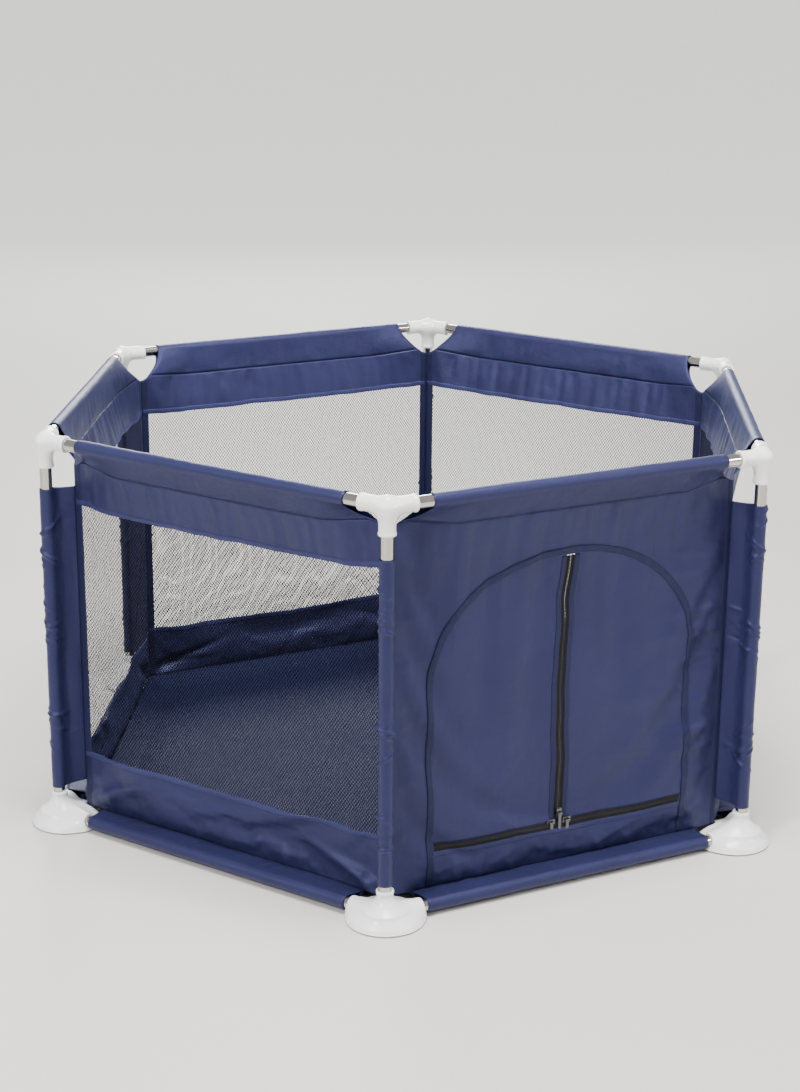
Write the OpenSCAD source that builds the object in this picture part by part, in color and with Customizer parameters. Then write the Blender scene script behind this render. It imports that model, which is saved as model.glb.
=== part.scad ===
// Travel play yard. Six plastic corner connectors and six plastic feet are joined by thin steel tubes, and a
// sewn cloth cover hangs inside them: five walls with mesh windows, one wall with a zipped door, and a floor.
// Units are millimetres. The origin is on the ground at the centre of the yard, and +Z is up.
// Corner 0 points to -Y and corner k is 60 k degrees further round, towards +X. Side k runs from corner k
// to corner k + 1. The door is in side 0.

/* [Frame] */
// Distance between neighbouring posts, axis to axis
side = 640; // [500:10:900]
// Height from the bottom rail axis to the top rail axis
rail_rise = 630; // [480:10:900]
// Outer diameter of every tube
tube_d = 19; // [15:0.5:25]
// Wall thickness of every tube
tube_wall = 0.6; // [0.4:0.1:1.5]

/* [Connectors and feet] */
// Thickness of the plastic round a tube
socket_wall = 3; // [2:0.5:5]
// Radial clearance between a tube and its socket
socket_clear = 0.1; // [0.05:0.05:0.3]
// Depth of the sockets
socket_depth = 27; // [18:1:32]
// Plastic between the rail sockets and the blind end of the post socket, in a connector
connector_floor = 5.5; // [3:0.5:10]
// The same in a foot
foot_floor = 3.5; // [2:0.5:10]
// Distance from a corner's axis to the mouths of a connector's rail sockets
connector_reach = 45; // [40:1:60]
// Distance from a corner's axis to the mouths of a foot's rail sockets
foot_reach = 50; // [44:1:60]
// How far the collar round a socket's mouth stands out
collar_step = 0.8; // [0.4:0.1:1.5]
// Length of that collar
collar_length = 5; // [3:1:8]
// Radius of the fillets between a connector's arms
crotch_radius = 13; // [8:1:18]
// Radius of a foot's base
foot_radius = 60; // [50:1:75]
// How far a foot's base is set in from its post
foot_offset = 14; // [0:1:20]
// Thickness of the base at its rim
foot_rim = 1.4; // [1:0.1:3]
// Radius of the rubber pad under a foot
pad_radius = 51; // [30:1:55]
// Thickness of that pad
pad_thickness = 2; // [1:0.5:4]
// Gap between the underside of a foot's collars and the top of the pad
arm_lift = 0.55; // [0.3:0.05:3]
// Gap left at each end of a tube in its sockets
seat_gap = 0.5; // [0.2:0.1:2]

/* [Cover] */
// Thickness of the cloth
cloth = 1.2; // [0.8:0.1:2]
// Thickness of the net in the windows
net = 0.8; // [0.5:0.1:1.2]
// Gap between a tube and the cloth sleeve round it
sleeve_clear = 0.7; // [0.3:0.1:1.5]
// Distance of the walls from the plane of the posts
wall_inset = 40; // [30:1:60]
// Height of the walls' top edge below the top rail axis
wall_drop = 35; // [25:1:60]
// Height of the walls' bottom edge above the ground
wall_base = 21; // [18:1:40]
// Height of the cloth band above a window
top_band = 73; // [50:1:120]
// Height of the cloth band below a window
low_band = 97; // [60:1:150]
// Width of the cloth strip at each end of a window
edge_strip = 14; // [8:1:30]
// Bare tube between a connector and a top rail's sleeve
top_bare = 25; // [10:1:40]
// Bare tube between a connector and a post's sleeve
post_bare_top = 35; // [10:1:50]
// Bare tube between a foot and a post's sleeve
post_bare_low = 8; // [4:1:20]
// Distance from a foot's base to a bottom rail's sleeve
low_bare = 2.5; // [1:0.5:20]
// How far a sleeve's sloping web stops short of the end of the wall
web_notch = 12; // [6:1:30]
// Height of the floor cloth above the ground
floor_gap = 0.6; // [0.3:0.1:2]
// Width of the strip of floor cloth that slopes up to the walls
floor_slope = 45; // [36:1:80]

/* [Door] */
// Half the width of the arch, to the middle of its binding
arch_half = 227; // [170:1:230]
// Distance from the top edge of the wall to the top of the arch
arch_margin = 75.95; // [40:0.05:160]
// Rise of the arch's curve
arch_rise = 184; // [120:1:190]
// Width of the binding
binding_width = 11; // [8:1:16]
// Thickness of the binding
binding_thickness = 1; // [0.6:0.1:1.5]
// Height of the level zips above the ground
zip_height = 87; // [70:1:120]
// Width of one half of a zip, tape and coil
zip_half = 7; // [5:0.5:9]
// Thickness of the zips
zip_thickness = 1.6; // [1:0.1:2]
// Half the gap between the two halves of a zip
zip_gap = 1.3; // [1:0.1:2]
// Distance from the binding to the outer end of a level zip
zip_end = 12; // [8:1:30]
// Distance from the top of the arch to the top of the upright zip
zip_top = 9; // [7:1:30]
// Half the width of the doorway at the top of the upright zip
door_crown = 9; // [8:0.5:12]
// Gap between a leaf and the wall that it folds against
fold_gap = 1; // [0.6:0.1:2]

/* [Zip sliders] */
// Length of a slider
slider_length = 14; // [10:1:18]
// Width of a slider
slider_width = 9; // [7:0.5:12]
// Thickness of each of its two plates
slider_plate = 1.2; // [0.8:0.1:2]
// Clearance between a slider and the zip inside it
slider_clear = 0.5; // [0.3:0.1:0.8]
// Length of the wedge that parts the zip
wedge_length = 3; // [2:0.5:5]
// Distance between neighbouring sliders where the zips meet
slider_gap = 2.5; // [1.5:0.5:6]
// Length of a pull
pull_length = 26; // [15:1:40]
// Width of a pull
pull_width = 5; // [3:0.5:8]
// Thickness of a pull
pull_thickness = 1.2; // [0.8:0.1:2]
// Radius of the pin that a pull hangs on
pin_radius = 0.8; // [0.6:0.1:1.5]
// Radial clearance between the pin and a pull
pin_clear = 0.05; // [0.02:0.01:0.1]
// Wall of a pull's eye
eye_wall = 0.95; // [0.6:0.05:2]
// Gap between a pull and what is beside it
pull_clear = 0.4; // [0.3:0.1:1]

/* [Hidden] */
$fn = 64;
sides = 6;
turn = 360 / sides;
corner_0 = -90;
apothem = side * cos(turn / 2);

tube_r = tube_d / 2;
bore_r = tube_r + socket_clear;
arm_r = bore_r + socket_wall;
collar_r = arm_r + collar_step;
low_z = pad_thickness + arm_lift + collar_r;
top_z = low_z + rail_rise;

// Seats of the tubes: distances from the rail axes or the corner axis to the blind ends of the sockets
top_rail_seat = connector_reach - socket_depth;
low_rail_seat = foot_reach - socket_depth;
connector_seat = bore_r + connector_floor;
foot_seat = bore_r + foot_floor;
connector_mouth_z = top_z - connector_seat - socket_depth;
foot_mouth_z = low_z + foot_seat + socket_depth;

// Cloth sleeves and walls
sleeve_in = tube_r + sleeve_clear;
sleeve_out = sleeve_in + cloth;
wall_out = wall_inset - cloth / 2;
wall_in = wall_inset + cloth / 2;
wall_top = top_z - wall_drop;
window_low = wall_base + low_band;
window_top = wall_top - top_band;
window_half = (apothem - wall_in) * tan(turn / 2) - edge_strip;
wall_half = (apothem - wall_in) * tan(turn / 2);
wall_corner = (apothem - wall_out) / cos(turn / 2);
base_reach = foot_offset / 2 + sqrt(pow(foot_radius, 2) - pow(foot_offset * sin(turn), 2));
top_sleeve_half = side / 2 - connector_reach - top_bare;
low_sleeve_half = side / 2 - max(base_reach, foot_reach) - low_bare;
skirt_end_z = wall_base + cloth;
binding_foot_z = skirt_end_z + 2 * cloth;
touch = 0.05;
overrun = 1;

// Door: the fold line of a leaf runs from the outer end of its level zip to the top of the upright zip
arch_top = wall_top - arch_margin;
arch_spring = arch_top - arch_rise;
fold_low = [arch_half - zip_end, zip_height];
fold_top = [door_crown, arch_top - zip_top];
fold_length = norm(fold_top - fold_low);
fold_normal = [fold_top.y - fold_low.y, fold_low.x - fold_top.x] / fold_length;
leaf_top = fold_top.y - fold_gap;
sill_z = zip_height - zip_half;
lip_z = zip_height + zip_half;
arch_steps = 32;

// Zip sliders: offsets along the wall's thickness are from the middle of the cloth
channel = zip_thickness / 2 + slider_clear;
slider_face = channel + slider_plate;
eye_r = pin_radius + pin_clear + eye_wall;
pin_offset = slider_face + pull_clear + eye_r;
cheek_in = pull_width / 2 + pull_clear;
cheek_out = cheek_in + 1;
cheek_root = slider_face - slider_plate / 2;
cheek_tip = pin_offset + eye_r;
centre_slider_z = zip_height + slider_width / 2 + slider_gap + slider_length / 2;
side_slider_x = slider_width / 2 + slider_gap + slider_length / 2;

corners = [0 : sides - 1];
windows = [1 : sides - 1];

plastic = [0.95, 0.95, 0.94];
steel = [0.78, 0.76, 0.73];
navy = [0.16, 0.19, 0.36];
pale_navy = [0.24, 0.28, 0.44];
net_black = [0.12, 0.12, 0.13];
zip_black = [0.07, 0.07, 0.08];
zip_metal = [0.55, 0.55, 0.56];
pad_grey = [0.8, 0.8, 0.8];

// The horizontal distance from the door's middle to the line that lies off beyond the fold line, at height z
function fold_x(z, off) = fold_low.x + (off - fold_normal.y * (z - fold_low.y)) / fold_normal.x;

// ---------------------------------------------------------------- placing

// Local frame of corner k: +X points away from the yard's centre
module at_corner(k) {
    rotate([0, 0, corner_0 + turn * k]) translate([side, 0, 0]) children();
}

// Local frame of side k: +X runs from corner k to corner k + 1, +Y points into the yard
module at_side(k) {
    rotate([0, 0, corner_0 + turn * (k + 0.5)]) translate([apothem, 0, 0]) rotate([0, 0, 90]) children();
}

// The directions of the two rails that leave a corner, in its local frame
module along_rails() {
    for (way = [-1, 1]) rotate([0, 0, way * (90 + turn / 2)]) children();
}

// ---------------------------------------------------------------- shapes shared by the parts

// A flat outline in side k's X-Z plane, given a thickness about a distance into the yard
module upright(inward, thickness) {
    translate([0, inward, 0]) rotate([90, 0, 0]) linear_extrude(thickness, center = true) children();
}

// A strip of constant width from one point to another
module strip(from, to, width) {
    step = (to - from) / norm(to - from);
    edge = [-step.y, step.x] * width / 2;
    polygon([from + edge, from - edge, to - edge, to + edge]);
}

// One arm of a connector or foot, along +X from the corner's axis, with a collar at its mouth
module arm(reach) {
    rotate([0, 90, 0]) {
        cylinder(h = reach, r = arm_r);
        translate([0, 0, reach - collar_length]) cylinder(h = collar_length, r = collar_r);
    }
}

// The blind bore of a socket whose mouth is at reach along +X, cut on past the mouth
module socket(reach, past = overrun) {
    translate([reach - socket_depth, 0, 0]) rotate([0, 90, 0]) cylinder(h = socket_depth + past, r = bore_r);
}

// A flat web with a concave edge that fills the corner between two arms, the first one along +X
module crotch(angle) {
    out = (arm_r + crotch_radius) / sin(angle / 2);
    along = (arm_r + crotch_radius) / tan(angle / 2);
    middle = out * [cos(angle / 2), sin(angle / 2)];
    linear_extrude(arm_r, center = true) difference() {
        polygon([[0, 0], [along, 0], middle, along * [cos(angle), sin(angle)]]);
        translate(middle) circle(crotch_radius);
    }
}

module tube(length) {
    difference() {
        cylinder(h = length, r = tube_r);
        translate([0, 0, -overrun]) cylinder(h = length + 2 * overrun, r = tube_r - tube_wall);
    }
}

// A rail tube of side k at height z, with its ends at a distance from the corners' axes
module rail(k, z, seat) {
    end = seat + seat_gap;
    at_side(k) translate([end - side / 2, 0, z]) rotate([0, 90, 0]) tube(side - 2 * end);
}

// A sleeve round the rail of side k at height z, with a web from the rail to the wall
module rail_sleeve(k, z, half, from, to) {
    wide = wall_half - web_notch;
    at_side(k) intersection() {
        translate([0, 0, z]) rotate([90, 0, 90]) linear_extrude(side, center = true) {
            difference() {
                union() {
                    circle(sleeve_out);
                    strip(from, to - [0, z], cloth);
                }
                circle(sleeve_in);
            }
        }
        translate([0, 0, z - side / 4]) linear_extrude(side / 2)
            polygon([[-half, -side / 4], [half, -side / 4], [half, sleeve_out], [wide, wall_in], [wide, side / 4],
                     [-wide, side / 4], [-wide, wall_in], [-half, sleeve_out]]);
    }
}

// The wall of a side: its ends are mitred so that neighbours meet along the corner
module wall_blank() {
    outer = (apothem - wall_out) * tan(turn / 2);
    inner = (apothem - wall_in) * tan(turn / 2);
    translate([0, 0, wall_base]) linear_extrude(wall_top - wall_base)
        polygon([[-outer, wall_out], [outer, wall_out], [inner, wall_in], [-inner, wall_in]]);
}

// The outline of the arch, drawn at an offset from the middle of its binding
module arch_outline(offset) {
    polygon(concat(
        [[arch_half + offset, binding_foot_z]],
        [for (i = [0 : arch_steps]) let (a = 180 * i / arch_steps)
            [(arch_half + offset) * cos(a), arch_spring + (arch_rise + offset) * sin(a)]],
        [[-arch_half - offset, binding_foot_z]]
    ));
}

// ---------------------------------------------------------------- frame

module top_connector(k) {
    color(plastic) at_corner(k) translate([0, 0, top_z]) difference() {
        union() {
            sphere(collar_r);
            along_rails() arm(connector_reach);
            along_rails() rotate([90, 0, 0]) rotate([0, 0, -90]) crotch(90);
            rotate([0, 0, 90 + turn / 2]) crotch(2 * turn);
            rotate([0, 90, 0]) arm(connector_seat + socket_depth);
        }
        along_rails() socket(connector_reach);
        rotate([0, 90, 0]) socket(connector_seat + socket_depth);
    }
}

// A low dome with a flared neck for the post and two arms for the rails
module foot(k) {
    base = low_z + foot_seat + socket_depth - pad_thickness;
    color(plastic) at_corner(k) translate([0, 0, pad_thickness]) difference() {
        union() {
            translate([-foot_offset, 0, 0]) rotate_extrude()
                polygon([[0, 0], [foot_radius, 0], [foot_radius, foot_rim], [foot_radius * 0.93, foot_rim + 2],
                         [foot_radius * 0.8, foot_rim + 5], [foot_radius * 0.6, foot_rim + 9.5],
                         [foot_radius * 0.4, foot_rim + 14], [0, foot_rim + 16]]);
            rotate_extrude()
                polygon([[0, 0], [arm_r * 2.2, 0], [arm_r * 2.1, base * 0.2], [arm_r * 1.6, base * 0.35],
                         [arm_r * 1.25, base * 0.5], [arm_r, base * 0.75], [arm_r, base - collar_length],
                         [collar_r, base - collar_length], [collar_r, base], [0, base]]);
            translate([0, 0, low_z - pad_thickness]) along_rails() arm(foot_reach);
        }
        translate([0, 0, low_z - pad_thickness]) along_rails() socket(foot_reach, foot_radius);
        translate([0, 0, base]) rotate([0, -90, 0]) translate([-socket_depth, 0, 0]) socket(socket_depth);
    }
}

module foot_pads() {
    color(pad_grey) for (k = corners) at_corner(k) translate([-foot_offset, 0, 0])
        cylinder(h = pad_thickness, r = pad_radius);
}

module post_tube(k) {
    low = low_z + foot_seat + seat_gap;
    color(steel) at_corner(k) translate([0, 0, low]) tube(top_z - connector_seat - seat_gap - low);
}

module top_rail(k) {
    color(steel) rail(k, top_z, top_rail_seat);
}

module bottom_rail(k) {
    color(steel) rail(k, low_z, low_rail_seat);
}

// ---------------------------------------------------------------- cover

module top_sleeves() {
    color(navy) for (k = corners) rail_sleeve(k, top_z, top_sleeve_half,
        [sleeve_in * cos(30), -sleeve_in * sin(30)], [wall_inset, wall_top + cloth / 2]);
}

module bottom_sleeves() {
    color(pale_navy) for (k = corners) rail_sleeve(k, low_z, low_sleeve_half,
        [sleeve_in * cos(30), sleeve_in * sin(30)], [wall_out - touch, skirt_end_z]);
}

// A sleeve round each post, with a web from the post to the corner between two walls
module post_sleeves() {
    low = foot_mouth_z + post_bare_low;
    height = connector_mouth_z - post_bare_top - low;
    web = side - wall_corner - touch;
    color(navy) for (k = corners) at_corner(k) translate([0, 0, low]) {
        difference() {
            union() {
                cylinder(h = height, r = sleeve_out);
                translate([-web, -cloth / 2, 0]) cube([web, cloth, height]);
            }
            translate([0, 0, -overrun]) cylinder(h = height + 2 * overrun, r = sleeve_in);
        }
    }
}

// The cloth round a window: a band above it, a band below it and a strip at each end
module window_wall(k) {
    color(navy) at_side(k) difference() {
        wall_blank();
        upright(wall_inset, 2 * wall_inset) translate([-window_half, window_low])
            square([2 * window_half, window_top - window_low]);
    }
}

module mesh_window(k) {
    color(net_black) at_side(k) upright(wall_inset, net) translate([-window_half, window_low])
        square([2 * window_half, window_top - window_low]);
}

// A shallow tray: the cloth lies on the ground and slopes up to the foot of the walls
module floor_cloth() {
    low_r = (apothem - wall_in - touch - floor_slope) / cos(turn / 2);
    high_r = (apothem - wall_in - touch) / cos(turn / 2);
    color(navy) rotate([0, 0, corner_0]) translate([0, 0, floor_gap]) difference() {
        cylinder(h = wall_base, r1 = low_r, r2 = high_r, $fn = sides);
        translate([0, 0, cloth]) cylinder(h = wall_base, r1 = low_r, r2 = high_r, $fn = sides);
    }
}

// ---------------------------------------------------------------- door

module door_wall() {
    color(navy) at_side(0) difference() {
        wall_blank();
        upright(wall_inset, 2 * wall_inset) polygon([
            for (way = [-1, 1]) each [
                [way * fold_x(way < 0 ? fold_top.y : sill_z, fold_gap / 2), way < 0 ? fold_top.y : sill_z],
                [way * fold_x(way < 0 ? sill_z : fold_top.y, fold_gap / 2), way < 0 ? sill_z : fold_top.y]
            ]
        ]);
    }
}

module arch_binding() {
    color(navy) at_side(0) upright(wall_out - touch - binding_thickness / 2, binding_thickness) difference() {
        arch_outline(binding_width / 2);
        translate([0, -overrun]) arch_outline(-binding_width / 2);
    }
}

// One leaf: the cloth between the upright zip, its level zip and the fold line
module door_leaf(way) {
    color(navy) at_side(0) upright(wall_inset, cloth) polygon([
        [way * zip_half, lip_z],
        [way * fold_x(lip_z, -fold_gap / 2), lip_z],
        [way * fold_x(leaf_top, -fold_gap / 2), leaf_top],
        [way * zip_half, leaf_top]
    ]);
}

// The halves of the upright zip and of the level zip that are sewn to one leaf
module zip_tape(way) {
    color(zip_black) at_side(0) upright(wall_inset, zip_thickness) polygon([
        [way * zip_gap, zip_height + zip_gap],
        [way * fold_x(zip_height + zip_gap, -fold_gap / 2), zip_height + zip_gap],
        [way * fold_x(lip_z, -fold_gap / 2), lip_z],
        [way * zip_half, lip_z],
        [way * zip_half, leaf_top],
        [way * zip_gap, leaf_top]
    ]);
}

// The lower halves of the level zips, sewn to the wall
module zip_tape_sill() {
    high = zip_height - zip_gap;
    color(zip_black) at_side(0) upright(wall_inset, zip_thickness) polygon([
        [-fold_x(sill_z, fold_gap / 2), sill_z],
        [fold_x(sill_z, fold_gap / 2), sill_z],
        [fold_x(high, fold_gap / 2), high],
        [-fold_x(high, fold_gap / 2), high]
    ]);
}

// Two plates joined by a wedge at the end that opens the zip, which is at the low end before turning, and two
// cheeks that hold the pull's pin
module zip_slider(x, z, angle) {
    color(zip_metal) at_side(0) translate([x, wall_inset, z]) {
        rotate([0, angle, 0]) {
            for (way = [-1, 1]) translate([0, way * (channel + slider_plate / 2), 0])
                cube([slider_width, slider_plate, slider_length], center = true);
            translate([0, 0, (wedge_length - slider_length) / 2])
                cube([2 * (zip_gap - slider_clear / 2), 2 * channel + slider_plate, wedge_length], center = true);
        }
        for (way = [-1, 1]) translate([way * (cheek_in + cheek_out) / 2, -(cheek_root + cheek_tip) / 2, 0])
            cube([cheek_out - cheek_in, cheek_tip - cheek_root, 2 * eye_r], center = true);
        translate([-cheek_out, -pin_offset, 0]) rotate([0, 90, 0]) cylinder(h = 2 * cheek_out, r = pin_radius);
    }
}

// A flat pull that hangs from its eye
module zip_pull(x, z) {
    color(zip_metal) at_side(0) translate([x, wall_inset - pin_offset, z]) difference() {
        union() {
            rotate([0, 90, 0]) cylinder(h = pull_width, r = eye_r, center = true);
            translate([-pull_width / 2, -pull_thickness / 2, -pull_length])
                cube([pull_width, pull_thickness, pull_length - pin_radius - pin_clear - eye_wall / 2]);
        }
        rotate([0, 90, 0]) cylinder(h = pull_width + 2 * overrun, r = pin_radius + pin_clear, center = true);
    }
}

// ---------------------------------------------------------------- nodes

for (k = corners) {
    top_connector(k);
    foot(k);
    post_tube(k);
    top_rail(k);
    bottom_rail(k);
}
for (k = windows) {
    window_wall(k);
    mesh_window(k);
}
foot_pads();
top_sleeves();
post_sleeves();
bottom_sleeves();
floor_cloth();
door_wall();
arch_binding();
door_leaf(-1);  // door_leaf_left
door_leaf(1);  // door_leaf_right
zip_tape(-1);  // zip_tape_left
zip_tape(1);  // zip_tape_right
zip_tape_sill();
zip_slider(0, centre_slider_z, 0);  // zip_slider_centre
zip_slider(-side_slider_x, zip_height, -90);  // zip_slider_left
zip_slider(side_slider_x, zip_height, 90);  // zip_slider_right
zip_pull(0, centre_slider_z);  // zip_pull_centre
zip_pull(-side_slider_x, zip_height);  // zip_pull_left
zip_pull(side_slider_x, zip_height);  // zip_pull_right
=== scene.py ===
"""Travel play yard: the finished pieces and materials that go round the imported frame."""

import logging
import math
from collections.abc import Callable, Sequence
from dataclasses import dataclass, field
from enum import Enum
from functools import cached_property

import bpy
import numpy as np
from mathutils import Matrix, Vector
from mathutils.geometry import delaunay_2d_cdt


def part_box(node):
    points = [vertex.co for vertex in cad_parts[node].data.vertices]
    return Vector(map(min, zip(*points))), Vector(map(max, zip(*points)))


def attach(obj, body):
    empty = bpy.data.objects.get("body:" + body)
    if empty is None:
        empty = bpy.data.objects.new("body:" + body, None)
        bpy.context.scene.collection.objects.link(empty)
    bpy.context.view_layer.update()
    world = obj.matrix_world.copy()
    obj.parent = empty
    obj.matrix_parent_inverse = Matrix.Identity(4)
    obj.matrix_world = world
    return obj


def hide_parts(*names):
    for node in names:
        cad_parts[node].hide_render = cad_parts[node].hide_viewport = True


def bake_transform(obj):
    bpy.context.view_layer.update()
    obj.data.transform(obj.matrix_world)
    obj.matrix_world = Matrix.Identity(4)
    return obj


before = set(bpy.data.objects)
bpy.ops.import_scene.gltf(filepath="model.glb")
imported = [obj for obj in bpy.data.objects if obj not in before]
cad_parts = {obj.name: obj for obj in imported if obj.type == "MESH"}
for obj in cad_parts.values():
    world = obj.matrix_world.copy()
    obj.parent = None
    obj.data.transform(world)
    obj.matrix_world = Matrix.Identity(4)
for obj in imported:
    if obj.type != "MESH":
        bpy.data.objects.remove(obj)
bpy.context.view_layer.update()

log = logging.getLogger("play_yard")
Array = np.ndarray
MM = 0.001
SIDES = 6
TURN = 360 / SIDES
FIRST_CORNER = -90.0


# ------------------------------------------------------------------ shader sums


class Term:
    """A value in a shader that can be added, subtracted and multiplied like a number."""

    def __init__(self, shader: "Shader", socket: bpy.types.NodeSocket) -> None:
        """Keeps the shader that the term belongs to and the socket that gives it."""
        self.shader = shader
        self.socket = socket

    def _math(self, operation: str, *values: "Term | float") -> "Term":
        """Adds a Math node.

        Args:
            operation: The node's operation.
            values: What goes into it, in order.

        Returns:
            The result as a new term.
        """
        settings = {"operation": operation}
        return self.shader.node("ShaderNodeMath", settings, dict(enumerate(values))).out("Value")

    def __add__(self, other: "Term | float") -> "Term":
        """The sum."""
        return self._math("ADD", self, other)

    def __radd__(self, other: float) -> "Term":
        """The sum with a number in front."""
        return self._math("ADD", other, self)

    def __sub__(self, other: "Term | float") -> "Term":
        """The difference."""
        return self._math("SUBTRACT", self, other)

    def __rsub__(self, other: float) -> "Term":
        """The difference from a number."""
        return self._math("SUBTRACT", other, self)

    def __mul__(self, other: "Term | float") -> "Term":
        """The product."""
        return self._math("MULTIPLY", self, other)

    def __rmul__(self, other: float) -> "Term":
        """The product with a number in front."""
        return self._math("MULTIPLY", other, self)

    def sin(self) -> "Term":
        """The sine of the term in radians."""
        return self._math("SINE", self)

    def lower(self, other: "Term | float") -> "Term":
        """The lower of the two."""
        return self._math("MINIMUM", self, other)

    def zigzag(self, pitch: float) -> "Term":
        """A triangle wave between 0 and 1 that comes back to 0 at each multiple of pitch."""
        return self._math("PINGPONG", self, pitch / 2) * (2 / pitch)

    def spread(self, low: float, high: float) -> "Term":
        """Runs from low to high as the term runs from 0 to 1."""
        return self * (high - low) + low

    def fade(self, start: float, end: float) -> "Term":
        """A smooth step from 0 at start to 1 at end."""
        sockets = {"Value": self, "From Min": start, "From Max": end}
        settings = {"interpolation_type": "SMOOTHSTEP"}
        return self.shader.node("ShaderNodeMapRange", settings, sockets).out("Result")


class Made:
    """A node that a shader has made."""

    def __init__(self, shader: "Shader", node: bpy.types.Node) -> None:
        """Keeps the shader and the node."""
        self.shader = shader
        self.node = node

    def out(self, name: str | int = 0) -> Term:
        """The output of that name or place."""
        return Term(self.shader, self.node.outputs[name])


Fill = Term | float | tuple[float, ...]


class Shader:
    """Builds one material's node tree."""

    def __init__(self, name: str) -> None:
        """Starts an empty material of that name."""
        self.material = bpy.data.materials.new(name)
        self.material.use_nodes = True
        self.tree = self.material.node_tree
        self.tree.nodes.clear()

    def node(self, kind: str, settings: dict[str, object], sockets: dict[str | int, Fill]) -> Made:
        """Adds a node.

        Args:
            kind: The node's type.
            settings: Its properties, which are set before its sockets.
            sockets: A value or a term for each input socket, by name or by place.

        Returns:
            The node.
        """
        made = self.tree.nodes.new(kind)
        for name, value in settings.items():
            setattr(made, name, value)
        for name, value in sockets.items():
            if isinstance(value, Term):
                self.tree.links.new(value.socket, made.inputs[name])
            else:
                made.inputs[name].default_value = value
        return Made(self, made)

    def cloth_place(self) -> Term:
        """The place on a piece's flat cut, in metres."""
        return self.node("ShaderNodeUVMap", {"uv_map": UV_NAME}, {}).out("UV")

    def object_place(self) -> Term:
        """The place in the row frame at rest, in metres."""
        return self.node("ShaderNodeTexCoord", {}, {}).out("Object")

    def axes(self, place: Term) -> tuple[Term, Term, Term]:
        """The three parts of a place."""
        made = self.node("ShaderNodeSeparateXYZ", {}, {"Vector": place})
        return made.out("X"), made.out("Y"), made.out("Z")

    def stretched(self, place: Term, scale: tuple[float, float, float]) -> Term:
        """A place whose three parts are multiplied by scale."""
        settings = {"operation": "MULTIPLY"}
        return self.node("ShaderNodeVectorMath", settings, {0: place, 1: scale}).out("Vector")

    def noise(self, place: Term, scale: float, detail: float = 2.0, roughness: float = 0.5) -> Term:
        """Smooth noise between 0 and 1 with scale cells to the metre."""
        sockets = {"Vector": place, "Scale": scale, "Detail": detail, "Roughness": roughness}
        return self.node("ShaderNodeTexNoise", {}, sockets).out()

    def mix(self, amount: Fill, low: Fill, high: Fill) -> Term:
        """A colour that runs from low to high as amount runs from 0 to 1."""
        settings = {"data_type": "RGBA"}
        return self.node("ShaderNodeMix", settings, {"Factor": amount, 6: low, 7: high}).out(2)

    def bump(self, height: Term, depth: float, below: Term | None = None) -> Term:
        """A normal for a surface whose height term is depth metres deep."""
        sockets: dict[str | int, Fill] = {"Height": height, "Distance": depth, "Strength": 1.0}
        if below is not None:
            sockets["Normal"] = below
        return self.node("ShaderNodeBump", {}, sockets).out("Normal")

    def surface(self, sockets: dict[str | int, Fill]) -> bpy.types.Material:
        """Ends the tree in a Principled shader with those sockets and returns the material."""
        shader = self.node("ShaderNodeBsdfPrincipled", {}, sockets)
        self.node("ShaderNodeOutputMaterial", {}, {"Surface": shader.out("BSDF")})
        return self.material


UV_NAME = "Cut"
Colour = tuple[float, float, float, float]


# ------------------------------------------------------------------ finishes


def tinted(colour: Colour, share: float) -> Colour:
    """A colour made darker or lighter."""
    return tuple(share * part for part in colour[:3]) + (1.0,)


class Finish:
    """A surface finish whose material is made once and shared."""

    @cached_property
    def material(self) -> bpy.types.Material:
        """The finish's material."""
        return self.make()

    def make(self) -> bpy.types.Material:
        """Builds the material."""
        raise NotImplementedError


@dataclass(frozen=True)
class WovenCloth(Finish):
    """Coated plain-weave cloth.

    Attributes:
        name: What the material is called.
        colour: The dyed colour.
        thread: Distance between neighbouring threads, in metres.
        relief: Depth of the weave, in metres.
        roughness: How matt the coating is.
        sheen: How much the fibres catch light at a glancing angle.
        gloss: How strongly the coating reflects.
    """

    name: str
    colour: Colour
    thread: float = 0.0007
    relief: float = 0.00012
    roughness: float = 0.4
    sheen: float = 0.05
    gloss: float = 0.42

    def make(self) -> bpy.types.Material:
        """Builds the material."""
        shader = Shader(self.name)
        place = shader.cloth_place()
        across, along, _ = shader.axes(place)
        over = (across * (math.pi / self.thread)).sin()
        under = (along * (math.pi / self.thread)).sin()
        weave = over * under
        streak = shader.noise(shader.stretched(place, (900.0, 14.0, 1.0)), 1.0, 3.0)
        cross_streak = shader.noise(shader.stretched(place, (14.0, 900.0, 1.0)), 1.0, 3.0)
        patch = shader.noise(shader.object_place(), 9.0, 4.0, 0.6)
        slub = streak * 0.5 + cross_streak * 0.5
        shade = (slub * 0.5 + patch * 0.5).fade(0.3, 0.7)
        tone = shader.mix(shade, tinted(self.colour, 0.82), tinted(self.colour, 1.16))
        rough = patch.spread(self.roughness - 0.07, self.roughness + 0.07) + weave * 0.03
        crumple = shader.noise(shader.object_place(), 55.0, 3.0, 0.55)
        normal = shader.bump(crumple, 0.0009)
        normal = shader.bump(weave * 0.5 + slub, self.relief, normal)
        return shader.surface({
            "Base Color": tone,
            "Roughness": rough,
            "Normal": normal,
            "Specular IOR Level": self.gloss,
            "Specular Tint": (0.52, 0.55, 1.0, 1.0),
            "Sheen Weight": self.sheen,
            "Sheen Roughness": 0.45,
            "Sheen Tint": (0.40, 0.50, 1.0, 1.0),
        })


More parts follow.
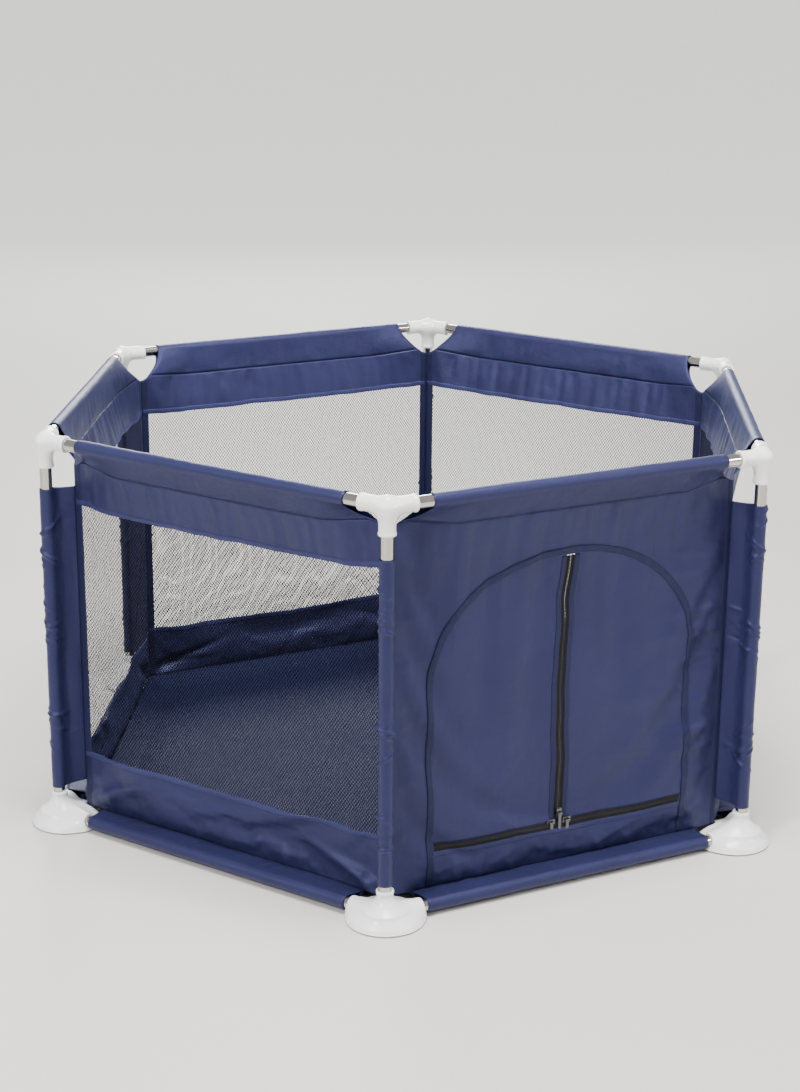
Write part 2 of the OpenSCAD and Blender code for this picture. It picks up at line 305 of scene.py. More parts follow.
@dataclass(frozen=True)
class Netting(Finish):
    """Open net of fine yarn with lozenge holes.

    Attributes:
        name: What the material is called.
        colour: The yarn's colour.
        pitch: Width of one lozenge, in metres.
        yarn: Width of a yarn, as a share of the distance between neighbours.
    """

    name: str
    colour: Colour
    pitch: float = 0.0052
    yarn: float = 0.24

    def make(self) -> bpy.types.Material:
        """Builds the material."""
        shader = Shader(self.name)
        place = shader.cloth_place()
        across, along, _ = shader.axes(place)
        rise = (across + along * 0.72).zigzag(self.pitch)
        fall = (across - along * 0.72).zigzag(self.pitch)
        gap = rise.lower(fall)
        cover = 1.0 - gap.fade(self.yarn * 0.9, self.yarn * 1.1)
        twist = shader.noise(place, 2600.0, 1.0)
        tone = shader.mix(twist, tinted(self.colour, 0.6), self.colour)
        return shader.surface({
            "Base Color": tone,
            "Roughness": twist.spread(0.7, 0.9),
            "Alpha": cover,
            "Normal": shader.bump(1.0 - gap, 0.0002),
            "Specular IOR Level": 0.03,
        })


@dataclass(frozen=True)
class Moulding(Finish):
    """Injection-moulded gloss plastic.

    Attributes:
        name: What the material is called.
        colour: The plastic's colour.
        glow: How much light passes into the plastic.
        roughness: How matt it is.
        coat: How much of a clear gloss lies on it.
    """

    name: str
    colour: Colour
    glow: float = 0.15
    roughness: float = 0.22
    coat: float = 0.25

    def make(self) -> bpy.types.Material:
        """Builds the material."""
        shader = Shader(self.name)
        place = shader.object_place()
        flow = shader.noise(place, 24.0, 3.0, 0.6)
        grain = shader.noise(place, 1400.0, 2.0)
        scuff = shader.noise(shader.stretched(place, (420.0, 420.0, 90.0)), 1.0, 4.0, 0.7)
        return shader.surface({
            "Base Color": shader.mix(flow, tinted(self.colour, 0.95), self.colour),
            "Roughness": flow.spread(self.roughness - 0.05, self.roughness + 0.08)
            + scuff.fade(0.55, 0.75) * 0.16,
            "Normal": shader.bump(grain * 0.4 + scuff * 0.6, 0.00004),
            "Subsurface Weight": self.glow,
            "Subsurface Radius": (0.006, 0.006, 0.007),
            "Subsurface Scale": 1.0,
            "Coat Weight": self.coat,
            "Coat Roughness": 0.12,
            "IOR": 1.49,
        })


@dataclass(frozen=True)
class PolishedSteel(Finish):
    """Drawn and polished stainless steel."""

    name: str
    colour: Colour
    roughness: float = 0.13

    def make(self) -> bpy.types.Material:
        """Builds the material."""
        shader = Shader(self.name)
        place = shader.object_place()
        cloud = shader.noise(place, 30.0, 3.0)
        scratch = shader.noise(shader.stretched(place, (260.0, 260.0, 260.0)), 1.0, 5.0, 0.75)
        return shader.surface({
            "Base Color": shader.mix(cloud, tinted(self.colour, 0.9), self.colour),
            "Metallic": 1.0,
            "Roughness": scratch.fade(0.4, 0.75) * 0.1
            + cloud.spread(self.roughness - 0.04, self.roughness + 0.03),
            "Normal": shader.bump(scratch, 0.00002),
        })


@dataclass(frozen=True)
class PlatedMetal(Finish):
    """Plated die-cast metal with rubbed edges."""

    name: str
    colour: Colour

    def make(self) -> bpy.types.Material:
        """Builds the material."""
        shader = Shader(self.name)
        place = shader.object_place()
        wear = shader.noise(place, 500.0, 4.0, 0.65)
        return shader.surface({
            "Base Color": shader.mix(wear, tinted(self.colour, 0.6), self.colour),
            "Metallic": 1.0,
            "Roughness": wear.spread(0.2, 0.42),
            "Normal": shader.bump(wear, 0.00005),
        })


@dataclass(frozen=True)
class Tape(Finish):
    """Narrow woven tape with a chevron weave."""

    name: str
    colour: Colour
    rib: float = 0.0011

    def make(self) -> bpy.types.Material:
        """Builds the material."""
        shader = Shader(self.name)
        place = shader.cloth_place()
        across, along, _ = shader.axes(place)
        slope = across.zigzag(4 * self.rib) * (2 * self.rib)
        chevron = (along + slope).zigzag(self.rib)
        fuzz = shader.noise(place, 900.0, 2.0)
        return shader.surface({
            "Base Color": shader.mix(chevron * 0.6 + fuzz * 0.4, self.colour, tinted(self.colour, 2.2)),
            "Roughness": fuzz.spread(0.55, 0.8),
            "Normal": shader.bump(chevron + fuzz * 0.5, 0.00012),
            "Specular IOR Level": 0.2,
        })


@dataclass(frozen=True)
class SoftRubber(Finish):
    """Matt non-slip rubber."""

    name: str
    colour: Colour

    def make(self) -> bpy.types.Material:
        """Builds the material."""
        shader = Shader(self.name)
        place = shader.object_place()
        speck = shader.noise(place, 700.0, 3.0)
        return shader.surface({
            "Base Color": shader.mix(speck, tinted(self.colour, 0.8), self.colour),
            "Roughness": speck.spread(0.6, 0.85),
            "Normal": shader.bump(speck, 0.0001),
            "Specular IOR Level": 0.3,
        })


NAVY = WovenCloth("navy_oxford", (0.016, 0.017, 0.056, 1.0))
HEM_NAVY = WovenCloth("navy_hem", (0.023, 0.025, 0.082, 1.0), thread=0.0006, roughness=0.45)
FLOOR_NAVY = WovenCloth("navy_floor_cloth", (0.010, 0.012, 0.040, 1.0), roughness=0.55, sheen=0.02,
                        gloss=0.15)
BINDING = WovenCloth("navy_binding", (0.008, 0.009, 0.032, 1.0), thread=0.0006, roughness=0.5)
THREAD = WovenCloth("navy_thread", (0.026, 0.029, 0.090, 1.0), thread=0.0004, roughness=0.5)
NET = Netting("dark_net", (0.005, 0.005, 0.006, 1.0))
WHITE_PLASTIC = Moulding("white_connector_plastic", (0.90, 0.90, 0.89, 1.0))
MILKY_PLASTIC = Moulding("milky_foot_plastic", (0.89, 0.90, 0.92, 1.0), glow=0.5, roughness=0.3)
# Tube steel: partly the steel's own grey, partly a painted reflection: its colour is tinted darker and
# warmer, as if it mirrored warm, dark surroundings.
STEEL_WITH_PAINTED_REFLECTION = PolishedSteel("polished_tube_painted_reflection", (0.56, 0.53, 0.49, 1.0))
ZIP_TAPE = Tape("black_zip_tape", (0.0035, 0.0035, 0.004, 1.0))
COIL = Moulding("black_zip_coil", (0.006, 0.006, 0.0065, 1.0), glow=0.0, roughness=0.5, coat=0.0)
ZIP_METAL = PlatedMetal("zip_metal", (0.16, 0.16, 0.17, 1.0))
PAD_RUBBER = SoftRubber("pad_rubber", (0.55, 0.55, 0.56, 1.0))


# ------------------------------------------------------------------ places on the yard


def moved(points: Array, matrix: Matrix) -> Array:
    """Points taken through a matrix.

    Args:
        points: One row of three numbers to a point.
        matrix: A four by four matrix.

    Returns:
        The points in the same order.
    """
    table = np.array(matrix)
    return points @ table[:3, :3].T + table[:3, 3]


@dataclass(frozen=True)
class Span:
    """A node's box in the frame of a side or corner."""

    low: Array
    high: Array

    @property
    def middle(self) -> Array:
        """The middle of the box."""
        return (self.low + self.high) / 2


def local_points(node: str, matrix: Matrix) -> Array:
    """The points of a node of that name in a local frame."""
    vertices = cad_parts[node].data.vertices
    points = np.empty(len(vertices) * 3)
    vertices.foreach_get("co", points)
    return moved(points.reshape(-1, 3), matrix.inverted())


def local_span(node: str, matrix: Matrix) -> Span:
    """The box of a node of that name in a local frame."""
    local = local_points(node, matrix)
    return Span(local.min(axis=0), local.max(axis=0))


@dataclass(frozen=True)
class Plan:
    """The sizes of the yard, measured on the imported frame, in metres."""

    @cached_property
    def side(self) -> float:
        """Distance between neighbouring posts."""
        low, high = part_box("post_tube_0")
        return -(low.y + high.y) / 2

    @cached_property
    def apothem(self) -> float:
        """Distance of the posts' planes from the yard's middle."""
        return self.side * math.cos(math.radians(TURN / 2))

    @staticmethod
    def outward(sides: float, reach: float) -> Matrix:
        """The frame whose +X points outward, reach from the yard's middle and that many sides round it."""
        towards = math.radians(FIRST_CORNER + TURN * sides)
        return Matrix.Rotation(towards, 4, "Z") @ Matrix.Translation((reach, 0.0, 0.0))

    def at_side(self, side: int) -> Matrix:
        """The frame of a side: +X runs along it, +Y points into the yard, and its origin is on the ground."""
        return self.outward(side + 0.5, self.apothem) @ Matrix.Rotation(math.pi / 2, 4, "Z")

    def at_corner(self, corner: int) -> Matrix:
        """The frame of a corner: +X points away from the yard's middle, and its origin is on the ground."""
        return self.outward(corner, self.side)

    @cached_property
    def tube(self) -> float:
        """Radius of the tubes."""
        low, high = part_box("post_tube_0")
        return (high.x - low.x) / 2

    @cached_property
    def top(self) -> float:
        """Height of the top rails' axes."""
        low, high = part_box("top_rail_1")
        return (low.z + high.z) / 2

    @cached_property
    def low(self) -> float:
        """Height of the bottom rails' axes."""
        low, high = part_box("bottom_rail_1")
        return (low.z + high.z) / 2

    @cached_property
    def wall(self) -> Span:
        """A window wall in its side's frame."""
        return local_span("window_wall_1", self.at_side(1))

    @cached_property
    def window(self) -> Span:
        """A net window in its side's frame."""
        return local_span("mesh_window_1", self.at_side(1))

    @cached_property
    def inset(self) -> float:
        """Distance of the walls inside the posts' planes."""
        return float(self.wall.middle[1])

    @cached_property
    def wall_half(self) -> float:
        """Half the length of a wall."""
        return (self.apothem - self.inset) * math.tan(math.radians(TURN / 2))

    @cached_property
    def corner_inset(self) -> float:
        """Distance from a post's axis to the wall's corner."""
        return self.side - (self.apothem - self.inset) / math.cos(math.radians(TURN / 2))


PLAN = Plan()


# ------------------------------------------------------------------ meshes


class Form(Enum):
    """How a piece of cloth is held."""

    STRETCHED = "stretched"
    LAID = "laid"
    FOLDED = "folded"


@dataclass
class Mesh:
    """Points, faces and the flat cut's places of one piece."""

    points: Array
    faces: list[tuple[int, ...]]
    cut: Array | None = None

    def moved(self, matrix: Matrix) -> "Mesh":
        """The same mesh taken through a matrix."""
        return Mesh(moved(self.points, matrix), self.faces, self.cut)

    def object(self, name: str, finish: Finish) -> bpy.types.Object:
        """Makes the smooth-shaded piece of that name, dressed in the finish and linked to the scene."""
        data = bpy.data.meshes.new(name)
        data.from_pydata(self.points.tolist(), [], self.faces)
        data.polygons.foreach_set("use_smooth", [True] * len(data.polygons))
        if self.cut is not None:
            layer = data.uv_layers.new(name=UV_NAME)
            corners = np.empty(len(data.loops), dtype=int)
            data.loops.foreach_get("vertex_index", corners)
            layer.data.foreach_set("uv", self.cut[corners].ravel())
        data.materials.append(finish.material)
        data.update()
        made = bpy.data.objects.new(name, data)
        bpy.context.scene.collection.objects.link(made)
        return made


def stacked(meshes: Sequence[Mesh]) -> Mesh:
    """Several meshes with flat cuts as one."""
    starts = np.cumsum([0] + [len(m.points) for m in meshes])
    faces = [tuple(int(start) + i for i in face) for start, m in zip(starts, meshes) for face in m.faces]
    return Mesh(np.vstack([m.points for m in meshes]), faces, np.vstack([m.cut for m in meshes]))


def loft(points: Array, cut: Array | None = None) -> Mesh:
    """A quad mesh over a table of points.

    Args:
        points: Rows by columns by three numbers.
        cut: Rows by columns by two numbers, the places on the flat cut.

    Returns:
        The mesh.
    """
    rows, columns = points.shape[:2]
    index = np.arange(rows * columns).reshape(rows, columns)
    quads = np.stack([index[:-1, :-1], index[:-1, 1:], index[1:, 1:], index[1:, :-1]], axis=-1)
    faces = [tuple(quad) for quad in quads.reshape(-1, 4).tolist()]
    return Mesh(points.reshape(-1, 3), faces, None if cut is None else cut.reshape(-1, 2))


def inside(points: Array, outline: Array) -> Array:
    """Whether each flat point is inside an outline.

    Args:
        points: One row of two numbers to a point.
        outline: The outline's corners in order.

    Returns:
        One truth value to a point.
    """
    found = np.zeros(len(points), dtype=bool)
    for (ax, ay), (bx, by) in zip(outline, np.roll(outline, -1, axis=0)):
        crosses = (ay > points[:, 1]) != (by > points[:, 1])
        with np.errstate(divide="ignore", invalid="ignore"):
            reach = ax + (points[:, 1] - ay) * (bx - ax) / (by - ay)
        found ^= crosses & (points[:, 0] < reach)
    return found


def filled(outline: Array, holes: Sequence[Array], step: float) -> tuple[Array, list[tuple[int, ...]]]:
    """A flat triangle mesh inside an outline, with an even grid of points in it.

    Args:
        outline: The outer corners in order.
        holes: The corners of each hole in order.
        step: Distance between grid points.

    Returns:
        The flat points and the triangles.
    """
    loops = [resampled(np.asarray(loop), step) for loop in (outline, *holes)]
    edges, start = [], 0
    for loop in loops:
        count = len(loop)
        edges += [(start + i, start + (i + 1) % count) for i in range(count)]
        start += count
    border = np.vstack(loops)
    low, high = border.min(axis=0), border.max(axis=0)
    counts = np.maximum(2, np.ceil((high - low) / step).astype(int) + 1)
    grid = np.stack(np.meshgrid(*(np.linspace(a, b, n) for a, b, n in zip(low, high, counts))), axis=-1)
    grid = grid.reshape(-1, 2)
    grid = grid[inside(grid, loops[0])]
    for loop in loops[1:]:
        grid = grid[~inside(grid, loop)]
    nearest = np.array([np.min(np.sum((border - p) ** 2, axis=1)) for p in grid])
    grid = grid[nearest > (0.45 * step) ** 2]
    flat = [Vector(p) for p in np.vstack([border, grid]).tolist()]
    found, _, faces, *_ = delaunay_2d_cdt(flat, edges, [], 0, 1e-7)
    corners = np.array([tuple(p) for p in found])
    triangles = np.array(faces)
    centres = corners[triangles].mean(axis=1)
    kept = inside(centres, loops[0])
    for loop in loops[1:]:
        kept &= ~inside(centres, loop)
    return corners, [tuple(face) for face in triangles[kept].tolist()]


def resampled(loop: Array, step: float) -> Array:
    """A closed outline with its corners kept and points added so that none are further apart than step."""
    found = []
    for a, b in zip(loop, np.roll(loop, -1, axis=0)):
        count = max(1, round(float(np.linalg.norm(b - a)) / step))
        found.append(a + (b - a) * np.arange(count)[:, None] / count)
    return np.vstack(found)


# ------------------------------------------------------------------ moulded shapes


def blended(a: Array, b: Array, radius: float) -> Array:
    """Two distance fields joined with a fillet of that radius."""
    share = np.clip(0.5 + 0.5 * (b - a) / radius, 0, 1)
    return b * (1 - share) + a * share - radius * share * (1 - share)


def cut_away(body: Array, tool: Array) -> Array:
    """A distance field with another taken out of it."""
    return np.maximum(body, -tool)


def rod(points: Array, start: Array, end: Array, radius: float, edge: float = 0.0) -> Array:
    """The distance to a flat-ended rod.

    Args:
        points: Where the distance is wanted.
        start: The middle of one end.
        end: The middle of the other end.
        radius: The rod's radius.
        edge: The radius of its rounded edges.

    Returns:
        The distance at each point, below nought inside.
    """
    axis = end - start
    length = float(np.linalg.norm(axis))
    axis = axis / length
    along = (points - start) @ axis
    out = np.linalg.norm(points - start - along[:, None] * axis, axis=1)
    sideways = out - radius + edge
    lengthways = np.abs(along - length / 2) - length / 2 + edge
    outside = np.hypot(np.maximum(sideways, 0), np.maximum(lengthways, 0))
    return outside + np.minimum(np.maximum(sideways, lengthways), 0) - edge


def net_surface(field_at: Callable[[Array], Array], span: Span, step: float, room: float = 4 * MM) -> Mesh:
    """The surface where a distance field is nought, as even quads drawn onto it.

    Args:
        field_at: Gives the distance at each of many points.
        span: The box that the surface fills.
        step: The size of the quads.
        room: How much further than the box to search.

    Returns:
        The mesh.
    """
    ranges = [np.arange(a, b + step, step) for a, b in zip(span.low - room, span.high + room)]
    shape = tuple(len(r) for r in ranges)
    nodes = np.stack(np.meshgrid(*ranges, indexing="ij"), axis=-1).reshape(-1, 3)
    value = field_at(nodes).reshape(shape)
    nodes = nodes.reshape(*shape, 3)
    cells = tuple(n - 1 for n in shape)
    total, count = np.zeros((*cells, 3)), np.zeros(cells)
    offsets = [(i, j, k) for i in (0, 1) for j in (0, 1) for k in (0, 1)]

    def corner(table: Array, offset: tuple[int, int, int]) -> Array:
        """The table's values at one corner of every cell."""
        i, j, k = offset
        return table[i : i + cells[0], j : j + cells[1], k : k + cells[2]]

    for first in offsets:
        for axis in range(3):
            if first[axis]:
                continue
            second = tuple(1 if n == axis else first[n] for n in range(3))
            a, b = corner(value, first), corner(value, second)
            crosses = (a < 0) != (b < 0)
            share = np.where(crosses, a / np.where(crosses, a - b, 1), 0)
            start = corner(nodes, first)
            place = start + share[..., None] * (corner(nodes, second) - start)
            total += np.where(crosses[..., None], place, 0)
            count += crosses
    active = count > 0
    index = np.full(cells, -1)
    index[active] = np.arange(active.sum())
    points = total[active] / count[active][:, None]
    faces = []
    for axis in range(3):
        one, two = (axis + 1) % 3, (axis + 2) % 3
        a = value[tuple(slice(1, -1) if n != axis else slice(0, -1) for n in range(3))]
        b = value[tuple(slice(1, -1) if n != axis else slice(1, None) for n in range(3))]
        rising = (a < 0) & (b >= 0)
        for crosses, turned in ((rising, False), ((a >= 0) & (b < 0), True)):
            at = np.argwhere(crosses)
            base = at + np.array([0 if n == axis else 1 for n in range(3)])
            step_one, step_two = np.eye(3, dtype=int)[one], np.eye(3, dtype=int)[two]
            ring = [base - step_one - step_two, base - step_two, base, base - step_one]
            quads = np.stack([index[tuple(c.T)] for c in ring], axis=1)
            quads = quads[:, ::-1] if turned else quads
            faces += [tuple(q) for q in quads.tolist()]
    for _ in range(3):
        here, probe = field_at(points), step * 0.05
        slope = np.stack([field_at(points + d) - here for d in np.eye(3) * probe], axis=1) / probe
        size = np.maximum(np.sum(slope**2, axis=1), 0.05)
        move = -(here / size)[:, None] * slope
        points = points + np.clip(move, -0.4 * step, 0.4 * step)
    return Mesh(points, faces)


def smooth(value: Array, start: float, end: float) -> Array:
    """A smooth step from 0 at start to 1 at end."""
    share = np.clip((value - start) / (end - start), 0, 1)
    return share * share * (3 - 2 * share)


def around(radius: float, count: int, start: float = 0.0, end: float = 360.0) -> Array:
    """Points round a circle about the origin, from one angle to another in degrees.

    Args:
        radius: The circle's radius.
        count: How many points.
        start: The first angle.
        end: The last angle, which is left out when the two are a whole turn apart.

    Returns:
        One row of two numbers to a point.
    """
    whole = abs(end - start) >= 360
    angles = np.radians(np.linspace(start, end, count, endpoint=not whole))
    return radius * np.stack([np.cos(angles), np.sin(angles)], axis=1)


def cushioned(width: float, thick: float, count: int = 16, square: float = 2.6) -> Array:
    """The section of a flat strip with rounded edges, as points round its middle.

    Args:
        width: The strip's width.
        thick: Its thickness.
        count: How many points.
        square: How square the section is: 2 is an ellipse.

    Returns:
        One row to a point: the place across the strip and the height above its middle.
    """
    angles = np.linspace(0, 2 * math.pi, count, endpoint=False)
    cosine, sine = np.cos(angles), np.sin(angles)
    across = np.sign(cosine) * np.abs(cosine) ** (2 / square) * width / 2
    height = np.sign(sine) * np.abs(sine) ** (2 / square) * thick / 2
    return np.stack([across, height], axis=1)


def measured(points: Array) -> Array:
    """The distance along a line of points, at each point."""
    steps = np.linalg.norm(np.diff(points, axis=0), axis=1)
    return np.concatenate([[0.0], np.cumsum(steps)])


def headings(line: Array) -> tuple[Array, Array]:
    """The direction of a flat line at each of its points, and the direction to its left."""
    way = np.gradient(line, axis=0)
    way /= np.linalg.norm(way, axis=1)[:, None]
    return way, np.stack([-way[:, 1], way[:, 0]], axis=1)


def even(points: Array, step: float) -> Array:
    """A line of points with new points at even distances of about step."""
    along = measured(points)
    count = max(2, round(along[-1] / step) + 1)
    wanted = np.linspace(0, along[-1], count)
    return np.stack([np.interp(wanted, along, points[:, n]) for n in range(points.shape[1])], axis=1)


class Crumple:
    """Seeded smooth noise over flat cloth, between -1 and 1."""

    size = 64

    def __init__(self, seed: int) -> None:
        """Draws the lattice that the noise runs between."""
        self.table = np.random.default_rng(seed).uniform(-1, 1, (self.size, self.size))

    def _layer(self, u: Array, v: Array) -> Array:
        """One layer of noise whose lattice has a spacing of 1."""
        low_u, low_v = np.floor(u).astype(int), np.floor(v).astype(int)
        part_u, part_v = u - low_u, v - low_v
        part_u, part_v = part_u**2 * (3 - 2 * part_u), part_v**2 * (3 - 2 * part_v)
        near, far = (
            self.table[(low_u + i) % self.size, low_v % self.size] * (1 - part_v)
            + self.table[(low_u + i) % self.size, (low_v + 1) % self.size] * part_v
            for i in (0, 1)
        )
        return near * (1 - part_u) + far * part_u

    def at(self, u: Array, v: Array, layers: int = 3) -> Array:
        """The noise at flat places, with each layer half as large and twice as fine as the one before."""
        total = sum(self._layer(u * 2**n + 17 * n, v * 2**n + 5 * n) / 2**n for n in range(layers))
        return total / (2 - 0.5 ** (layers - 1))


@dataclass(frozen=True)
class Fold:
    """A soft ridge in cloth that is sharp where it starts and dies away towards its end.

    Attributes:
        start: The flat place where it starts.
        end: The flat place where it has died away.
        width: Its half width at the start.
        height: How far it stands out of the wall; below nought it is a crease.
        flare: How many times wider it is at its end.
    """

    start: tuple[float, float]
    end: tuple[float, float]
    width: float
    height: float
    flare: float = 2.5

    def lift(self, x: Array, z: Array) -> Array:
        """How far the fold moves the cloth at each flat place."""
        first, last = np.array(self.start), np.array(self.end)
        length = float(np.linalg.norm(last - first))
        way = (last - first) / length
        along = ((x - first[0]) * way[0] + (z - first[1]) * way[1]) / length
        off = (z - first[1]) * way[0] - (x - first[0]) * way[1]
        share = np.clip(along, 0, 1)
        spread = self.width * (1 + (self.flare - 1) * share)
        bow = off - 0.12 * length * share * (1 - share)
        envelope = smooth(along, -0.12, 0.1) * (1 - smooth(along, 0.25, 1.0))
        return self.height * envelope * np.exp(-np.abs(bow / spread) ** 1.4)


@dataclass(frozen=True)
class Settling:
    """Cloth simulation of a flat panel that is a little too large for its pinned edges.

    Attributes:
        growth: How much larger the cloth is than the space it hangs in.
        rows: Points along each edge of the simulated grid.
        steps: Frames that it runs for.
        bending: How stiff the cloth is against folding.
        seed: Seed of the first small push that decides where it folds.
        sag: Share of real gravity.
    """

    growth: float
    rows: int = 56
    steps: int = 26
    bending: float = 0.6
    seed: int = 1
    sag: float = 1.0

    def run(self, low: tuple[float, float], high: tuple[float, float]) -> Array:
        """Settles a flat upright panel between two corners.

        Args:
            low: The lowest corner, along and up.
            high: The highest corner.

        Returns:
            Rows by rows by three numbers: how far each point has moved, along, inward and up.
        """
        along = np.linspace(low[0], high[0], self.rows)
        up = np.linspace(low[1], high[1], self.rows)
        flat = np.stack(np.meshgrid(along, up), axis=-1)
        push = Crumple(self.seed).at(flat[..., 0] * 22, flat[..., 1] * 22) * 1.5 * MM
        start = np.stack([flat[..., 0], push, flat[..., 1]], axis=-1)
        panel = loft(start).object("settling_panel", THREAD)
        rim = np.zeros((self.rows, self.rows), dtype=bool)
        rim[[0, -1], :] = True
        rim[:, [0, -1]] = True
        group = panel.vertex_groups.new(name="held")
        group.add(np.flatnonzero(rim.ravel()).tolist(), 1.0, "REPLACE")
        cloth = panel.modifiers.new("settling", "CLOTH")
        cloth.settings.vertex_group_mass = "held"
        cloth.settings.shrink_min = -self.growth
        cloth.settings.mass = 0.12
        cloth.settings.tension_stiffness = 25
        cloth.settings.compression_stiffness = 25
        cloth.settings.shear_stiffness = 12
        cloth.settings.bending_stiffness = self.bending
        cloth.settings.air_damping = 4
        cloth.settings.quality = 6
        cloth.settings.effector_weights.gravity = self.sag
        cloth.collision_settings.use_collision = False
        scene = bpy.context.scene
        for step in range(1, self.steps + 1):
            scene.frame_set(step)
        settled = panel.evaluated_get(bpy.context.evaluated_depsgraph_get()).data
        points = np.empty(len(settled.vertices) * 3)
        settled.vertices.foreach_get("co", points)
        bpy.data.objects.remove(panel)
        scene.frame_set(1)
        rest = start.copy()
        rest[..., 1] = 0
        return points.reshape(self.rows, self.rows, 3) - rest


# ------------------------------------------------------------------ walls as surfaces


@dataclass
class Wall:
    """The surface that a wall's cloth lies in, with its folds, in its side's frame.

    Attributes:
        side: The side's number.
        folds: The single folds.
        settling: The simulation that gives the small buckles.
        limit: The furthest that the simulation may move the cloth.
        dip: How far the ends of the top edge hang down.
        dip_length: How far along the wall they hang.
        dip_height: The height over which they hang.
        lean: How far the rail's sleeve pulls the middle of the top edge out.
        leaning: The height over which the wall leans out.
        droop: How far the middle of the top edge hangs down.
        sway: How far an upright seam in the middle wanders to the sides.
        swaying: The heights over which that wandering sets in.
    """

    side: int
    folds: Sequence[Fold]
    settling: Settling
    limit: float = 7 * MM
    dip: float = 9 * MM
    dip_length: float = 24 * MM
    dip_height: float = 40 * MM
    lean: float = 23 * MM
    leaning: float = 181 * MM
    droop: float = 10 * MM
    sway: float = 0.0
    swaying: tuple[float, float] = (0.15, 0.25)
    _moves: Array = field(init=False, repr=False)

    @property
    def low(self) -> float:
        """Height of the wall's lower edge."""
        return float(PLAN.wall.low[2])

    @property
    def high(self) -> float:
        """Height of the wall's upper edge."""
        return float(PLAN.wall.high[2])

    def settle(self) -> None:
        """Runs the simulation."""
        half = PLAN.wall_half
        moves = self.settling.run((-half, self.low), (half, self.high))
        away = np.abs(moves[..., 1]).max()
        log.info("wall %d settled, furthest %.1f mm", self.side, away / MM)
        moves[..., 1] = self.limit * np.tanh(moves[..., 1] / self.limit)
        self._moves = moves

    def _settled(self, x: Array, z: Array) -> Array:
        """How far the simulation has moved the cloth at each flat place."""
        rows = self._moves.shape[0] - 1
        half = PLAN.wall_half
        u = np.clip((x + half) / (2 * half), 0, 1) * rows
        v = np.clip((z - self.low) / (self.high - self.low), 0, 1) * rows
        i, j = np.minimum(u.astype(int), rows - 1), np.minimum(v.astype(int), rows - 1)
        part_u, part_v = (u - i)[..., None], (v - j)[..., None]
        table = self._moves
        near = table[j, i] * (1 - part_u) + table[j, i + 1] * part_u
        far = table[j + 1, i] * (1 - part_u) + table[j + 1, i + 1] * part_u
        return near * (1 - part_v) + far * part_v

    def lift(self, x: Array, z: Array) -> Array:
        """How far the cloth stands out from its plane at each flat place."""
        crumple = Crumple(40 + self.side)
        edge = smooth(PLAN.wall_half - np.abs(x), 0.0, 30 * MM)
        total = sum((f.lift(x, z) for f in self.folds), np.zeros_like(x))
        total = total + 1.1 * MM * crumple.at(x * 14, z * 20)
        return total * edge

    def local(self, x: Array, z: Array, out: Array | float = 0.0) -> Array:
        """The places of flat points in the side's frame.

        Args:
            x: How far along the wall.
            z: How high.
            out: How far outside the cloth's middle.

        Returns:
            Three numbers to a point.
        """
        x, z = np.asarray(x, dtype=float), np.asarray(z, dtype=float)
        corner = smooth(np.abs(x), PLAN.wall_half - self.dip_length, PLAN.wall_half)
        corner = corner * smooth(z, self.high - self.dip_height, self.high)
        moved_by = self._settled(x, z) * smooth(PLAN.wall_half - np.abs(x), 6 * MM, 45 * MM)[..., None]
        pulled = np.clip(1 - (self.high - z) / self.leaning, 0, 1) ** 2
        pulled = pulled * (1 - smooth(np.abs(x), 0.62 * PLAN.wall_half, PLAN.wall_half))
        inward = PLAN.inset - self.lean * pulled + moved_by[..., 1] - self.lift(x, z) - out
        up = z + moved_by[..., 2] - self.dip * corner - self.droop * pulled
        wander = Crumple(5).at(z * 11, z * 0 + 8, 2) * np.exp(-((x / (0.3 * PLAN.wall_half)) ** 2))
        aside = self.sway * wander * smooth(z, *self.swaying)
        return np.stack([x + aside + moved_by[..., 0], inward, up], axis=-1)

    def place(self, x: Array, z: Array, out: Array | float = 0.0) -> Array:
        """The places of flat points in the row frame."""
        points = self.local(x, z, out)
        return moved(points.reshape(-1, 3), PLAN.at_side(self.side)).reshape(points.shape)

    def grid(self, low: tuple[float, float], high: tuple[float, float], step: float,
             shape: Callable[[Array, Array], tuple[Array, Array]] | None = None) -> Mesh:
        """A rectangle of cloth in the wall.

        Args:
            low: Its lowest corner, along and up.
            high: Its highest corner.
            step: Distance between its points.
            shape: Moves the flat places before they are put in the wall.

        Returns:
            The cloth's middle surface.
        """
        counts = [max(3, round((b - a) / step) + 1) for a, b in zip(low, high)]
        x, z = np.meshgrid(np.linspace(low[0], high[0], counts[0]), np.linspace(low[1], high[1], counts[1]))
        cut = np.stack([x, z], axis=-1)
        if shape is not None:
            x, z = shape(x, z)
        return loft(self.place(x, z), cut)

    def patch(self, outline: Array, holes: Sequence[Array], step: float) -> Mesh:
        """A piece of cloth of any outline in the wall.

        Args:
            outline: Its flat corners in order.
            holes: The corners of each hole.
            step: Distance between its points.

        Returns:
            The cloth's middle surface.
        """
        flat, faces = filled(outline, holes, step)
        return Mesh(self.place(flat[:, 0], flat[:, 1]), faces, flat)

    def strip(self, path: Array, section: Array, out: float = 0.0, pucker: float = 0.0,
              step: float = 4 * MM) -> Mesh:
        """A closed strip that runs along a flat path in the wall.

        Args:
            path: The flat points that its middle follows.
            section: Points round its section: across, and out from the wall.
            out: How far its middle lies outside the cloth's middle.
            pucker: How much the strip's thickness swells between stitches.
            step: Distance between its sections.

        Returns:
            The strip, with its ends closed.
        """
        line = even(np.asarray(path, dtype=float), step)
        _, side = headings(line)
        swell = 1 + pucker * np.sin(measured(line) * 2 * math.pi / (8 * MM))
        flat = line[:, None, :] + section[None, :, :1] * side[:, None, :]
        raised = out + section[None, :, 1] * swell[:, None]
        points = self.place(flat[..., 0], flat[..., 1], raised)
        girth = measured(np.vstack([section, section[:1]]))
        cut = np.stack(np.broadcast_arrays(girth[None, :-1], measured(line)[:, None]), axis=-1)
        return tube_of(points, cut)

